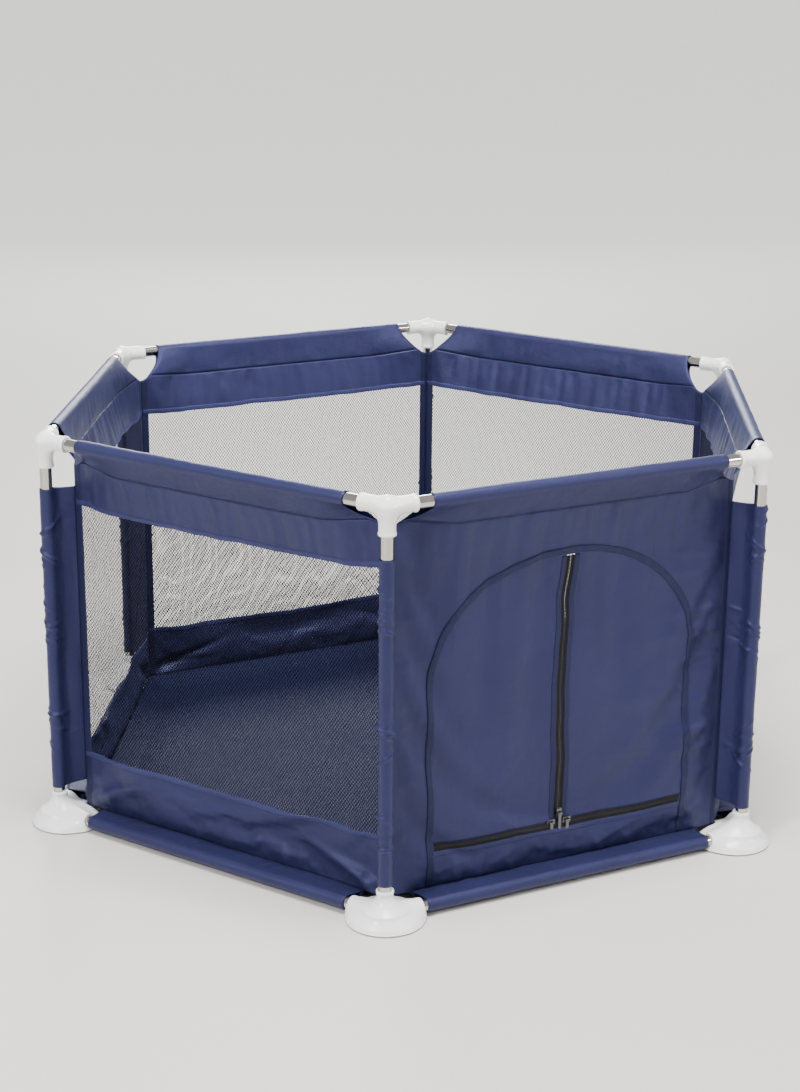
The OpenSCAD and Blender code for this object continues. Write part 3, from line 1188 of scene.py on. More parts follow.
    def stitches(self, path: Array, out: float, stitch: float = 2.8 * MM, pitch: float = 3.9 * MM,
                 thick: float = 0.5 * MM) -> Mesh:
        """A row of stitches along a flat path in the wall.

        Args:
            path: The flat points that the row follows.
            out: How far the thread lies outside the cloth's middle.
            stitch: Length of a stitch.
            pitch: Distance from one stitch to the next.
            thick: Thickness of the thread.

        Returns:
            The stitches as one mesh.
        """
        line = even(np.asarray(path, dtype=float), pitch)
        way, side = headings(line)
        along = np.array([-0.5, -0.3, 0.3, 0.5]) * stitch
        girth = np.array([0.35, 1.0, 1.0, 0.35]) * thick / 2
        ring = around(1.0, 5)
        flat = line[:, None, None, :] + along[None, :, None, None] * way[:, None, None, :]
        flat = flat + (girth[:, None] * ring[None, :, 0])[None, :, :, None] * side[:, None, None, :]
        sink = np.array([-0.3, 0.2, 0.2, -0.3]) * thick
        sign = 1 if out >= 0 else -1
        raised = out + sign * (sink[:, None] + girth[:, None] * ring[None, :, 1])[None]
        points = self.place(flat[..., 0], flat[..., 1], np.broadcast_to(raised, flat.shape[:3]))
        cut = np.stack(np.broadcast_arrays(ring[None, :, 0] * thick, along[:, None]), axis=-1)
        return stacked([tube_of(one, cut) for one in points])


def tube_of(points: Array, cut: Array) -> Mesh:
    """A tube through a table of rings, with its ends closed.

    Args:
        points: Rings by points by three numbers.
        cut: The places on the flat cut, in the same order.

    Returns:
        The mesh.
    """
    rings, count = points.shape[:2]
    index = np.arange(rings * count).reshape(rings, count)
    turned = np.roll(index, -1, axis=1)
    quads = np.stack([index[:-1], turned[:-1], turned[1:], index[1:]], axis=-1)
    faces = [tuple(q) for q in quads.reshape(-1, 4).tolist()]
    faces += [tuple(index[0][::-1].tolist()), tuple(index[-1].tolist())]
    return Mesh(points.reshape(-1, 3), faces, cut.reshape(-1, 2))


def thickened(mesh: Mesh, thick: float) -> Mesh:
    """A sheet's middle surface given a thickness, with its edges closed."""
    halves = (((f[0], f[1], f[2]), (f[0], f[2], f[-1]))[: len(f) - 2] for f in mesh.faces)
    triangles = np.array([half for pair in halves for half in pair])
    a, b, c = (mesh.points[triangles[:, n]] for n in range(3))
    across = np.cross(b - a, c - a)
    normals = np.zeros_like(mesh.points)
    for n in range(3):
        np.add.at(normals, triangles[:, n], across)
    normals /= np.maximum(np.linalg.norm(normals, axis=1), 1e-12)[:, None]
    count = len(mesh.points)
    outer = mesh.points + normals * thick * 0.5
    inner = mesh.points - normals * thick * 0.5
    faces = list(mesh.faces) + [tuple(i + count for i in f[::-1]) for f in mesh.faces]
    edges = {(f[i - 1], f[i]) for f in mesh.faces for i in range(len(f))}
    faces += [(j, i, i + count, j + count) for i, j in edges if (j, i) not in edges]
    cut = None if mesh.cut is None else np.vstack([mesh.cut, mesh.cut])
    return Mesh(np.vstack([outer, inner]), sorted(faces), cut)


def flat_size(mesh: Mesh) -> tuple[tuple[float, float], float]:
    """The size that a sheet was cut to.

    Args:
        mesh: The sheet, before it has a thickness.

    Returns:
        Width and length of the cut's box, and the cut's area.
    """
    low, high = mesh.cut.min(axis=0), mesh.cut.max(axis=0)
    width, length = (float(v) for v in high - low)
    area = 0.0
    for face in mesh.faces:
        corners = mesh.cut[list(face)]
        turned = np.roll(corners, -1, axis=0)
        area += abs(float(np.sum(corners[:, 0] * turned[:, 1] - turned[:, 0] * corners[:, 1]))) / 2
    return (width, length), min(area, width * length)


# ------------------------------------------------------------------ sub-assemblies


class Part:
    """A sub-assembly of the yard, which keeps and reports the pieces that it makes."""

    def keep(self, piece: bpy.types.Object, slot: str, *stands_for: str) -> bpy.types.Object:
        """Makes a piece ride on the yard and reports it.

        Args:
            piece: The piece, in its place.
            slot: The material slot; it is passed on but not used.
            stands_for: The frame's nodes that it stands for.

        Returns:
            The piece.
        """
        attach(piece, "yard")
        return self.label(piece, slot, stands_for, "rides on yard")

    @staticmethod
    def label(piece: bpy.types.Object, slot: str, stands_for: Sequence[str],
              motion: str) -> bpy.types.Object:
        """Hides the frame's nodes that a piece stands for and reports how it moves."""
        if stands_for:
            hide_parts(*stands_for)
        log.info("%s: %d faces, %s", piece.name, len(piece.data.polygons), motion)
        return piece

    @staticmethod
    def dress(kinds: tuple[str, ...], finish: Finish, slot: str) -> None:
        """Dresses the frame's own pieces whose names start with one of the kinds."""
        for name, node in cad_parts.items():
            if name.startswith(kinds):
                node.data.materials.clear()
                node.data.materials.append(finish.material)
                log.info("%s: dressed as %s", name, slot)

    @staticmethod
    def sheet(name: str, surface: Mesh, finish: Finish, held: Form, thick: float, rests_on: str,
              with_pieces: Sequence[bpy.types.Object] = ()) -> bpy.types.Object:
        """Args:
            name: The piece's name.
            surface: The sheet's surface.
            finish: The cloth.
            held: How the sheet is held; not used.
            thick: The cloth's thickness, or nought for netting, which stays a single surface.
            rests_on: What holds it; not used.
            with_pieces: The hems, tapes and stitches on it; not used.

        Returns:
            The sheet.
        """
        flat, area = flat_size(surface)
        piece = (thickened(surface, thick) if thick else surface).object(name, finish)
        return piece


@dataclass
class Frame(Part):
    """The steel tubes, the plastic connectors and the plastic feet.

    Attributes:
        socket_wall: Plastic round a tube.
        collar_length: Length of the collar round a socket's mouth.
        foot_reach: Distance from a post's axis to the mouths of a foot's rail sockets.
        bore_gap: Radial clearance of a socket.
        fillet: Radius of the fillets between a connector's arms.
        dome_height: Height of a foot's dome.
        flare: How far a foot's neck widens towards its base.
        flare_height: The height over which it widens.
        foot_fillet: Radius of the fillet between a foot's dome and neck.
        arm_fillet: Radius of the fillets between a foot and its arms.
        rim: Thickness of a foot's base at its rim.
        wall_gap: How far a foot stays outside the walls.
        quad: Size of the faces of the moulded shapes.
    """

    socket_wall: float = 3 * MM
    collar_length: float = 5 * MM
    foot_reach: float = 60 * MM
    bore_gap: float = 0.1 * MM
    fillet: float = 15 * MM
    dome_height: float = 25 * MM
    flare: float = 20 * MM
    flare_height: float = 26 * MM
    foot_fillet: float = 8 * MM
    arm_fillet: float = 16 * MM
    rim: float = 1.6 * MM
    wall_gap: float = 2.5 * MM
    quad: float = 1.3 * MM

    def build(self) -> None:
        """Builds every piece of the frame."""
        self.connectors()
        self.feet()
        self.dress(("post_tube", "top_rail", "bottom_rail"), STEEL_WITH_PAINTED_REFLECTION, "tube")

    @property
    def rails(self) -> list[Array]:
        """The directions of the two rails that leave a corner."""
        half_turn = math.radians(90 + TURN / 2)
        return [np.array([math.cos(half_turn), way * math.sin(half_turn), 0.0]) for way in (-1, 1)]

    def connectors(self) -> None:
        """Moulds one connector and places six."""
        span = local_span("top_connector_0", PLAN.at_corner(0))
        bore = PLAN.tube + self.bore_gap
        arm = bore + self.socket_wall
        collar = float(span.high[0])
        slant = math.cos(math.radians(TURN / 2))
        reach = (float(span.high[1]) - collar * (1 - slant**2) ** 0.5) / slant
        origin = np.array([0.0, 0.0, PLAN.top])
        ends = [(origin + reach * way, way) for way in self.rails]
        down = np.array([0.0, 0.0, -1.0])
        ends.append((origin + (PLAN.top - float(span.low[2])) * down, down))
        depth = reach - (PLAN.side - local_length("top_rail_1")) / 2

        def distance(points: Array) -> Array:
            """The distance to the connector's surface."""
            body = rod(points, origin, ends[0][0], arm, 1 * MM)
            for end, _ in ends[1:]:
                body = blended(body, rod(points, origin, end, arm, 1 * MM), self.fillet)
            ball = np.linalg.norm(points - origin - np.array([-1.5 * MM, 0, -1 * MM]), axis=1) - collar
            body = blended(body, ball, 6 * MM)
            for end, way in ends:
                ring = rod(points, end - way * self.collar_length, end, collar, 1.1 * MM)
                body = blended(body, ring, 1.2 * MM)
            for end, way in ends:
                body = cut_away(body, rod(points, end - way * depth, end + way * 9 * MM, bore))
            return body

        shape = net_surface(distance, span, self.quad)
        for corner in range(SIDES):
            piece = shape.moved(PLAN.at_corner(corner)).object(f"connector_{corner}", WHITE_PLASTIC)
            self.keep(piece, "connector", f"top_connector_{corner}")

    def feet(self) -> None:
        """Moulds one foot and its pad and places six of each."""
        span = local_span("foot_0", PLAN.at_corner(0))
        pad = Span(*(np.array(corner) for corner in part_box("foot_pads")))
        bore = PLAN.tube + self.bore_gap
        arm = bore + self.socket_wall
        collar = arm + 0.8 * MM
        radius = float(span.high[1])
        middle = float(span.high[0]) - radius
        base = float(span.low[2])
        top = float(span.high[2])
        reach = self.foot_reach
        depth = reach - (PLAN.side - local_length("bottom_rail_1")) / 2
        origin = np.array([0.0, 0.0, PLAN.low])
        up = np.array([0.0, 0.0, 1.0])
        ends = [(origin + reach * way, way) for way in self.rails]
        neck = np.array([0.0, 0.0, top])
        dome = np.array([radius - 1.5 * MM, radius - 1.5 * MM, self.dome_height])
        centre = np.array([middle, 0.0, base])

        def distance(points: Array) -> Array:
            """The distance to the foot's surface."""
            scaled = (points - centre) / dome
            near = np.linalg.norm(scaled, axis=1)
            body = near * (near - 1) / np.maximum(np.linalg.norm(scaled / dome, axis=1), 1e-9)
            flange = rod(points, centre, centre + self.rim * up, radius, 0.6 * MM)
            body = blended(body, flange, 2 * MM)
            drop = np.clip((top - self.collar_length - points[:, 2]) / self.flare_height, 0, 1)
            skirt = np.hypot(points[:, 0], points[:, 1]) - arm - self.flare * drop**2.2
            post = np.maximum(0.65 * skirt, np.abs(points[:, 2] - (top + base) / 2) - (top - base) / 2)
            body = blended(body, post, self.foot_fillet)
            for end, _ in ends:
                body = blended(body, rod(points, origin, end, arm, 0.8 * MM), self.arm_fillet)
            for end, way in [*ends, (neck, up)]:
                ring = rod(points, end - way * self.collar_length, end, collar, 1 * MM)
                body = blended(body, ring, 1.2 * MM)
            for end, way in ends:
                body = cut_away(body, rod(points, end - way * depth, end + way * reach, bore))
            body = cut_away(body, rod(points, neck - up * depth, neck + up * 9 * MM, bore))
            inward = np.minimum(*(points @ np.array([-abs(way[1]), math.copysign(way[0], -way[1]), 0.0])
                                  for way in self.rails))
            body = np.maximum(body, inward - PLAN.inset + self.wall_gap)
            return np.maximum(body, base - points[:, 2])

        shape = net_surface(distance, span, self.quad)
        pad_radius = float(pad.high[1]) - PLAN.side - middle
        pad_shape = self.pad(float(pad.high[2]), middle, pad_radius)
        for corner in range(SIDES):
            piece = shape.moved(PLAN.at_corner(corner)).object(f"foot_shell_{corner}", MILKY_PLASTIC)
            self.keep(piece, "foot", f"foot_{corner}")
            piece = pad_shape.moved(PLAN.at_corner(corner)).object(f"foot_pad_{corner}", PAD_RUBBER)
            self.keep(piece, "foot_pad", "foot_pads")

    @staticmethod
    def pad(high: float, middle: float, radius: float) -> Mesh:
        """A rubber pad with ring-shaped treads.

        Args:
            high: The pad's thickness.
            middle: Where its centre is, out from the post.
            radius: The pad's radius.

        Returns:
            The mesh in the corner's frame.
        """
        radii, heights = [0.05 * MM], [0.5 * MM]
        for ring in np.arange(6, 48, 6):
            radii += [ring * MM, (ring + 1) * MM, (ring + 4) * MM, (ring + 5) * MM]
            heights += [0.5 * MM, 0.0, 0.0, 0.5 * MM]
        radii += [radius - 0.5 * MM, radius, radius, radius - 0.3 * MM, 0.05 * MM]
        heights += [0.5 * MM, 0.8 * MM, high - 0.3 * MM, high, high]
        ring = around(1.0, 72)
        flat = np.array(radii)[:, None, None] * ring[None]
        tall = np.broadcast_to(np.array(heights)[:, None, None], (len(heights), len(ring), 1))
        points = np.concatenate([flat, tall], axis=2)[:, ::-1]
        made = tube_of(points, points[..., :2])
        made.points[:, 0] += middle
        return made


def local_length(node: str) -> float:
    """The length of a rail in its side's frame, from the node's name, which ends in the side's number."""
    span = local_span(node, PLAN.at_side(int(node[-1])))
    return float(span.high[0] - span.low[0])


@dataclass
class Panel(Part):
    """A wall's cloth, with a binding at each of its upright edges.

    Attributes:
        wall: The surface that it lies in.
        thick: Thickness of the cloth.
        cut_gap: How far the cloth stops short of the corner.
        margin: How far a binding stops short of the wall's top and bottom edges.
        bind_thick: Thickness of a binding.
        bind_gap: How much narrower a binding is than the strip it lies on.
    """

    wall: Wall
    thick: float = 0.7 * MM
    cut_gap: float = 0.3 * MM
    margin: float = 1 * MM
    bind_thick: float = 1.8 * MM
    bind_gap: float = 1 * MM

    def bindings(self, width: float, stands_for: str) -> None:
        """Builds the bindings on the strips of that width at the ends of the wall."""
        for way, end in ((-1, "left"), (1, "right")):
            middle = way * (PLAN.wall_half - width / 2)
            line = np.array([[middle, self.wall.low + self.margin], [middle, self.wall.high - self.margin]])
            tape = self.wall.strip(line, cushioned(width - self.bind_gap, self.bind_thick), pucker=0.15)
            piece = tape.object(f"edge_binding_{self.wall.side}_{end}", BINDING)
            self.keep(piece, "cover_cloth", stands_for)


@dataclass
class Sleeves(Part):
    """The cloth sleeves round the rails and posts.

    Attributes:
        thick: Thickness of the cloth.
        slack: Gap between a tube and its sleeve.
        notch: How far a top sleeve's web stops short of the end of the wall.
        low_notch: The same of a bottom sleeve's web.
        step: Distance between the points along a sleeve.
        web_points: Points between the seam and the rail.
        web_gap: Half the gap between the two layers of a post sleeve's web.
    """

    walls: Sequence[Wall]
    thick: float = 0.8 * MM
    slack: float = 0.9 * MM
    notch: float = 12 * MM
    low_notch: float = 38 * MM
    step: float = 4 * MM
    web_points: int = 10
    web_gap: float = 0.8 * MM

    def build(self) -> None:
        """Builds every sleeve."""
        for side, wall in enumerate(self.walls):
            self.rail_sleeve(wall, "top", PLAN.top, wall.high, self.notch, 1.0)
            self.rail_sleeve(wall, "bottom", PLAN.low, wall.low + self.thick, self.low_notch, 0.9)
        for corner in range(SIDES):
            self.post_sleeve(corner)

    @staticmethod
    def half(node: str) -> float:
        """Half the length of a rail's sleeve, from its node's points outside the rail's axis."""
        local = local_points(node, PLAN.at_side(0))
        return float(np.abs(local[local[:, 1] < -0.5 * PLAN.tube, 0]).max())

    def teardrop(self, to: Array, count: int = 44) -> Array:
        """The section of a sleeve round a rail, from the seam round the rail and back.

        Args:
            to: Where the seam is from the rail's axis, inward and up.
            count: Points round the rail.

        Returns:
            One row to a point: inward and up.
        """
        radius = PLAN.tube + self.slack
        towards = math.degrees(math.atan2(to[1], to[0]))
        open_half = math.degrees(math.acos(radius / math.hypot(*to)))
        ring = around(radius, count, towards + open_half, towards + 360 - open_half)
        share = np.linspace(0, 1, self.web_points)[:, None]
        into = to + (ring[0] - to) * share[:-1]
        back = ring[-1] + (to - ring[-1]) * share[1:]
        return np.vstack([into, ring, back])

    def rail_sleeve(self, wall: Wall, name: str, axis: float, seam: float, notch: float,
                    ripple: float) -> None:
        """Builds the sleeve round one rail.

        Args:
            wall: The wall that the sleeve is sewn to.
            name: Which rail it is.
            axis: Height of the rail's axis.
            seam: Height of the seam.
            notch: How far its web stops short of the end of the wall.
            ripple: How deep its wrinkles are.
        """
        half = self.half(f"{name}_sleeves")
        wide = PLAN.wall_half - notch
        columns = round(2 * wide / self.step) + 1
        share = np.linspace(-1, 1, columns)
        edge = wall.local(share * wide, np.full(columns, seam))
        sections = np.stack([self.teardrop(np.array([y, z - axis])) for _, y, z in edge], axis=1)
        rows = sections.shape[0]
        web = np.zeros(rows)
        web[: self.web_points] = np.linspace(1, 0, self.web_points)
        web[-self.web_points :] = np.linspace(0, 1, self.web_points)
        web = web[:, None]
        x = (half + (wide - half) * web**1.7) * share[None, :]
        steps = np.linalg.norm(np.diff(sections, axis=0), axis=2)
        girth = np.concatenate([np.zeros((1, columns)), np.cumsum(steps, axis=0)])
        crumple = Crumple(70 + wall.side + (10 if name == "top" else 0))
        wrinkle = (crumple.at(x * 30, girth * 18) * 0.6 + 0.4) * MM
        twist = crumple.at(x * 11 + girth * 25, girth * 6) * 1.6 * MM
        pleats = np.maximum(crumple.at(x * 42 + girth * 9, girth * 2 + 30), 0) * 2.6 * MM
        free = smooth(web, 0.0, 0.5)
        bound = smooth(1 - web, 0.0, 0.25)
        normal = np.gradient(sections, axis=0)
        normal = np.stack([normal[..., 1], -normal[..., 0]], axis=-1)
        normal /= np.linalg.norm(normal, axis=-1, keepdims=True)
        away = np.sum((sections - sections.mean(axis=0)) * normal, axis=-1, keepdims=True)
        normal = normal * np.where(away < 0, -1, 1)
        slack = np.maximum(wrinkle, 0) * (1 - free) + (np.maximum(wrinkle, 0) + twist + pleats) * free
        swell = (ripple * bound * slack)[..., None]
        flat = sections + normal * swell
        points = np.stack([x, flat[..., 0], axis + flat[..., 1]], axis=-1)
        cut = np.stack([girth, x], axis=-1)
        placed = moved(points.reshape(-1, 3), PLAN.at_side(wall.side)).reshape(points.shape)
        piece = self.sheet(f"{name}_sleeve_{wall.side}", loft(placed, cut), NAVY, Form.FOLDED, self.thick,
                           f"{name}_rail_{wall.side}")
        self.keep(piece, "cover_cloth", f"{name}_sleeves")

    def post_sleeve(self, corner: int) -> None:
        """Builds the sleeve round one post, with its flat web."""
        span = local_span("post_sleeves", PLAN.at_corner(corner))
        low, high = float(span.low[2]), float(span.high[2])
        radius = PLAN.tube + self.slack
        web = PLAN.corner_inset + self.web_gap
        ring = around(radius, 40, 150, -150)
        flare = np.linspace(0, 1, 6)[1:]
        reach = radius + 12 * MM
        start = abs(float(ring[0, 0]))
        gap = self.web_gap
        near = np.stack([-(start + (reach - start) * flare), (ring[0, 1] - gap) * (1 - flare) ** 2 + gap],
                        axis=1)
        rest = np.stack([np.linspace(-reach, -web, 8)[1:], np.full(7, gap)], axis=1)
        upper = np.vstack([near, rest])[::-1]
        lower = (upper * [1, -1])[::-1]
        section = np.vstack([upper, ring, lower])
        girth = measured(section)
        rows = round((high - low) / (2 * MM)) + 1
        share = np.linspace(0, 1, rows)[None, :]
        inward = np.clip(-section[:, :1] / web, 0, 1)
        bottom = low + 3 * MM * inward
        top = high - 1.5 * MM * inward
        z = bottom + (top - bottom) * share
        crumple = Crumple(90 + corner)
        crease = crumple.at(girth[:, None] * 12 + z * 6, z * 34)
        crease = 1.5 * MM * crease * smooth(inward, 0.1, 0.6) + 0.5 * MM * crease
        gather = smooth(np.abs(share - 0.5), 0.2, 0.5) * 0.5 + 0.7
        _, normal = headings(section)
        tight = 1 - smooth(inward, 0.35, 0.5)
        swell = (np.maximum(crease + 0.5 * MM, 0) * gather + self.creases(corner, girth[:, None], z)) * tight
        pull = self.creases(corner + SIDES, girth[:, None], z)
        pull = pull - self.creases(corner + 2 * SIDES, girth[:, None], z)
        sway = 2.2 * MM * crumple.at(z * 9 + 40, z * 0) + 1.6 * pull
        sway = sway * smooth(inward, 0.3, 0.7) * (1 - smooth(inward, 0.85, 1.0))
        x = section[:, :1] + normal[:, :1] * swell
        y = section[:, 1:] + normal[:, 1:] * swell + sway
        points = np.stack(np.broadcast_arrays(x, y, z), axis=-1).reshape(-1, 3)
        points = moved(points, PLAN.at_corner(corner))
        cut = np.stack(np.broadcast_arrays(girth[:, None], z), axis=-1)
        surface = loft(points.reshape(*z.shape, 3), cut)
        piece = self.sheet(f"post_sleeve_{corner}", surface, NAVY, Form.FOLDED, self.thick,
                           f"post_tube_{corner}")
        self.keep(piece, "cover_cloth", "post_sleeves")

    @staticmethod
    def creases(seed: int, girth: Array, z: Array) -> Array:
        """Groups of short slanting creases round a post.

        Args:
            seed: Seed of their places.
            girth: The distance round the sleeve.
            z: The height.

        Returns:
            How far they stand out.
        """
        draw = np.random.default_rng(500 + seed)
        total = np.zeros(np.broadcast(girth, z).shape)
        for group in (0.22, 0.5, 0.8):
            height = (0.62 * group + draw.uniform(-0.03, 0.03)) * PLAN.top / 0.62
            for _ in range(7):
                middle = height + draw.uniform(-44, 44) * MM
                slant, width = draw.uniform(-0.9, 0.9), draw.uniform(1.6, 2.8) * MM
                reach, centre = draw.uniform(12, 30) * MM, draw.uniform(0.3, 0.7) * girth.max()
                line = np.abs(z - middle - slant * (girth - centre)) / width
                fading = ((girth - centre) / reach) ** 2
                total = total + draw.uniform(1.6, 3.4) * MM * np.exp(-(line**1.4) - fading)
        return total


@dataclass
class WindowWall(Panel):
    """A wall with a net window between two bands of cloth.

    Attributes:
        hem: Width of the hems beside the window.
        hem_thick: Thickness of a hem.
        step: Distance between the cloth's points.
        net_step: Distance between the net's points.
        seam: How far the net reaches under the cloth beside the window.
        seam_end: The same at the ends of the window.
    """

    hem: float = 9 * MM
    hem_thick: float = 2.8 * MM
    step: float = 3.5 * MM
    net_step: float = 9 * MM
    seam: float = 6 * MM
    seam_end: float = 4 * MM

    def wave(self, x: Array) -> Array:
        """How far the edge of the upper band waves up and down."""
        crumple = Crumple(200 + self.wall.side)
        fade = smooth(PLAN.wall_half - np.abs(x), 14 * MM, 60 * MM)
        return 1.8 * MM * crumple.at(x * 16, x * 0 + 3, 2) * fade

    def build(self) -> None:
        """Builds the wall's pieces."""
        side = self.wall.side
        half = PLAN.wall_half - self.cut_gap
        low, high = float(PLAN.window.low[2]), float(PLAN.window.high[2])
        self.band("top_band", half, high, self.wall.high, high)
        self.band("low_band", half, self.wall.low, low, low)
        self.bindings(PLAN.wall_half - float(PLAN.window.high[0]), f"window_wall_{side}")
        self.net(f"window_net_{side}", low, high)

    def band(self, name: str, half: float, low: float, high: float, hem_at: float) -> None:
        """Builds a band of cloth with a hem and stitches beside the window.

        Args:
            name: The band's name.
            half: Half its length.
            low: Height of its lower edge.
            high: Height of its upper edge.
            hem_at: Height of the edge beside the window.
        """
        side, wall = self.wall.side, self.wall
        inner = 1 if hem_at == low else -1

        def waved(x: Array, z: Array) -> tuple[Array, Array]:
            """The flat places with the hem's edge waving."""
            near = 1 - np.abs(z - hem_at) / (high - low)
            return x, z + self.wave(x) * np.clip(near, 0, 1)

        surface = wall.grid((-half, low), (half, high), self.step, waved)
        line = np.linspace(-half + 2 * MM, half - 2 * MM, 240)

        def row(inset: float) -> Array:
            """A flat line along the hem, inset from the cloth's edge."""
            return np.stack([line, hem_at + inner * inset + self.wave(line)], axis=1)

        hem_section = cushioned(self.hem, self.hem_thick)
        hem = wall.strip(row(self.hem / 2), hem_section, pucker=0.12)
        hem_piece = self.keep(hem.object(f"{name}_hem_{side}", HEM_NAVY), "cover_cloth")
        rows = [wall.stitches(row(self.hem - 1.8 * MM), way * self.hem_thick * 0.46) for way in (-1, 1)]
        thread = self.keep(stacked(rows).object(f"{name}_stitches_{side}", THREAD), "cover_cloth")
        sleeve = "top_sleeve" if name == "top_band" else "bottom_sleeve"
        piece = self.sheet(f"{name}_{side}", surface, NAVY, Form.STRETCHED, self.thick,
                           f"{sleeve}_{side}", [hem_piece, thread])
        self.keep(piece, "cover_cloth", f"window_wall_{side}")

    def net(self, name: str, low: float, high: float) -> None:
        """Builds the net in the window."""
        half = float(PLAN.window.high[0]) + self.seam_end
        surface = self.wall.grid((-half, low - self.seam), (half, high + self.seam), self.net_step)
        piece = self.sheet(name, surface, NET, Form.STRETCHED, 0, f"top_band_{self.wall.side}")
        self.keep(piece, "window_net", f"mesh_window_{self.wall.side}")


@dataclass
class Door(Panel):
    """The wall with the zipped door.

    Attributes:
        tape: Width of one half of a zip.
        tape_inner: Distance from the middle of a zip to the edge of its tape.
        tape_seam: How far the tape goes on under the cloth.
        coil_inner: Distance from the middle of a zip to the middle of its coil.
        shown: Half the width of the upright zip's black tape that shows; it is drawn wider than the tape, so
            that its black also stands in as painted shade beside the lapels.
        shown_level: The same of the level zips.
        lapel: Width of the lapels beside the upright zip.
        binding: Width of the binding round the arch.
        edge: Width of the strips at the ends of the wall.
        rise: Rise of the arch's curve.
        bend: How far to each side of a leaf's fold line the points before and after the fold lie.
        fold_top: Distance from the upright zip to the top of a leaf's fold line.
        step: Distance between the cloth's points.
    """

    tape: float = 7 * MM
    tape_inner: float = 0.9 * MM
    tape_seam: float = 1 * MM
    coil_inner: float = 1.35 * MM
    # Partly painted shade: the black reaches past the tape's own width into the shade beside the lapels.
    shown: float = 7.5 * MM
    shown_level: float = 6.5 * MM
    lapel: float = 9 * MM
    binding: float = 11 * MM
    edge: float = 10 * MM
    rise: float = 184 * MM
    bend: float = 12 * MM
    fold_top: float = 9 * MM
    step: float = 3.8 * MM

    @cached_property
    def leaf(self) -> Span:
        """The right leaf in the side's frame."""
        return local_span("door_leaf_right", PLAN.at_side(0))

    @cached_property
    def arch(self) -> Span:
        """The arch's binding in the side's frame."""
        return local_span("arch_binding", PLAN.at_side(0))

    @cached_property
    def half(self) -> float:
        """Half the width of the arch, to the middle of its binding."""
        return float(self.arch.high[0]) - self.binding / 2

    @cached_property
    def crown(self) -> float:
        """Height of the middle of the binding at the top of the arch."""
        return float(self.arch.high[2]) - self.binding / 2

    @cached_property
    def sill(self) -> float:
        """Height of the level zips."""
        return float(self.leaf.low[2]) - self.tape

    @cached_property
    def zip_top(self) -> float:
        """Height of the top of the upright zip."""
        return float(self.leaf.high[2])

    @cached_property
    def zip_end(self) -> float:
        """Distance from the upright zip to the outer end of a level zip."""
        return float(local_span("zip_tape_sill", PLAN.at_side(0)).high[0])

    def build(self) -> None:
        """Builds the door wall's pieces."""
        self.panel()
        self.arch_tape()
        self.bindings(self.edge, "door_wall")
        for way, name in ((-1, "left"), (1, "right")):
            self.leaf_cloth(way, name)
            self.zips(way, name)
        self.sill_zip()
        self.dress(("zip_slider", "zip_pull"), ZIP_METAL, "zip_metal")

    def arch_line(self, offset: float = 0.0, foot: float | None = None, count: int = 96) -> Array:
        """The flat line of the arch, from the foot of its right leg over the top.

        Args:
            offset: How far outside the middle of the binding.
            foot: Height of the feet of the legs, or nothing for no legs.
            count: Points on the curve.

        Returns:
            The flat points.
        """
        angles = np.linspace(0, math.pi, count)
        x = (self.half + offset) * np.cos(angles)
        z = self.crown - self.rise + (self.rise + offset) * np.sin(angles)
        curve = np.stack([x, z], axis=1)
        if foot is None:
            return curve
        ends = [[self.half + offset, foot]], [[-self.half - offset, foot]]
        return np.vstack([ends[0], curve, ends[1]])

    def panel(self) -> None:
        """Builds the wall round the doorway."""
        edge = PLAN.wall_half - self.cut_gap
        outline = np.array([[-edge, self.wall.low], [edge, self.wall.low], [edge, self.wall.high],
                            [-edge, self.wall.high]])
        lip, bottom = self.sill + self.shown_level, self.sill - self.shown_level
        hole = np.vstack([self.arch_line(foot=lip), [[-self.zip_end, lip], [-self.zip_end, bottom],
                                                     [self.zip_end, bottom], [self.zip_end, lip]]])
        surface = self.wall.patch(outline, [hole], self.step)
        piece = self.sheet("door_panel", surface, NAVY, Form.STRETCHED, self.thick, "top_sleeve_0")
        self.keep(piece, "cover_cloth", "door_wall")

    def arch_tape(self) -> None:
        """Builds the binding round the arch and its stitches."""
        foot = float(self.arch.low[2])
        line = self.arch_line(foot=foot)
        section = cushioned(self.binding, 3 * MM)
        tape = self.wall.strip(line, section, out=0.9 * MM, pucker=0.16, step=2.5 * MM)
        self.keep(tape.object("arch_binding_tape", BINDING), "cover_cloth", "arch_binding")
        rows = [self.wall.stitches(self.arch_line(way * (self.binding / 2 - 1.6 * MM), foot), 2.2 * MM)
                for way in (-1, 1)]
        self.keep(stacked(rows).object("arch_binding_stitches", THREAD), "cover_cloth")

    def fold_points(self, way: int) -> tuple[list[float], list[float]]:
        """The points before and after a leaf's fold line, in the row frame.

        Args:
            way: Which leaf: -1 is the left one and 1 the right one.

        Returns:
            A point on the wall's side of the fold and one on the leaf's side.
        """
        low = np.array([self.zip_end, self.sill])
        top = np.array([self.fold_top, self.zip_top + 1 * MM])
        along = (top - low) / np.linalg.norm(top - low)
        out = np.array([along[1], -along[0]])
        middle = (low + top) / 2
        found = []
        for share in (1, -1):
            x, z = middle + share * self.bend * out
            point = np.array([[way * x, PLAN.inset, z]])
            found.append(moved(point, PLAN.at_side(0))[0].tolist())
        return found[0], found[1]

    def hang(self, piece: bpy.types.Object, way: int, slot: str, *stands_for: str) -> bpy.types.Object:
        """Bakes a piece's place into its mesh and reports it as turning with a leaf across its fold line.

        Args:
            piece: The piece, in its place.
            way: Which leaf.
            slot: The material slot; it is passed on but not used.
            stands_for: The frame's nodes that it stands for.

        Returns:
            The piece.
        """
        leaf = "leaf_left" if way < 0 else "leaf_right"
        start, end = self.fold_points(way)
        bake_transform(piece)
        return self.label(piece, slot, stands_for, f"turns with {leaf}")

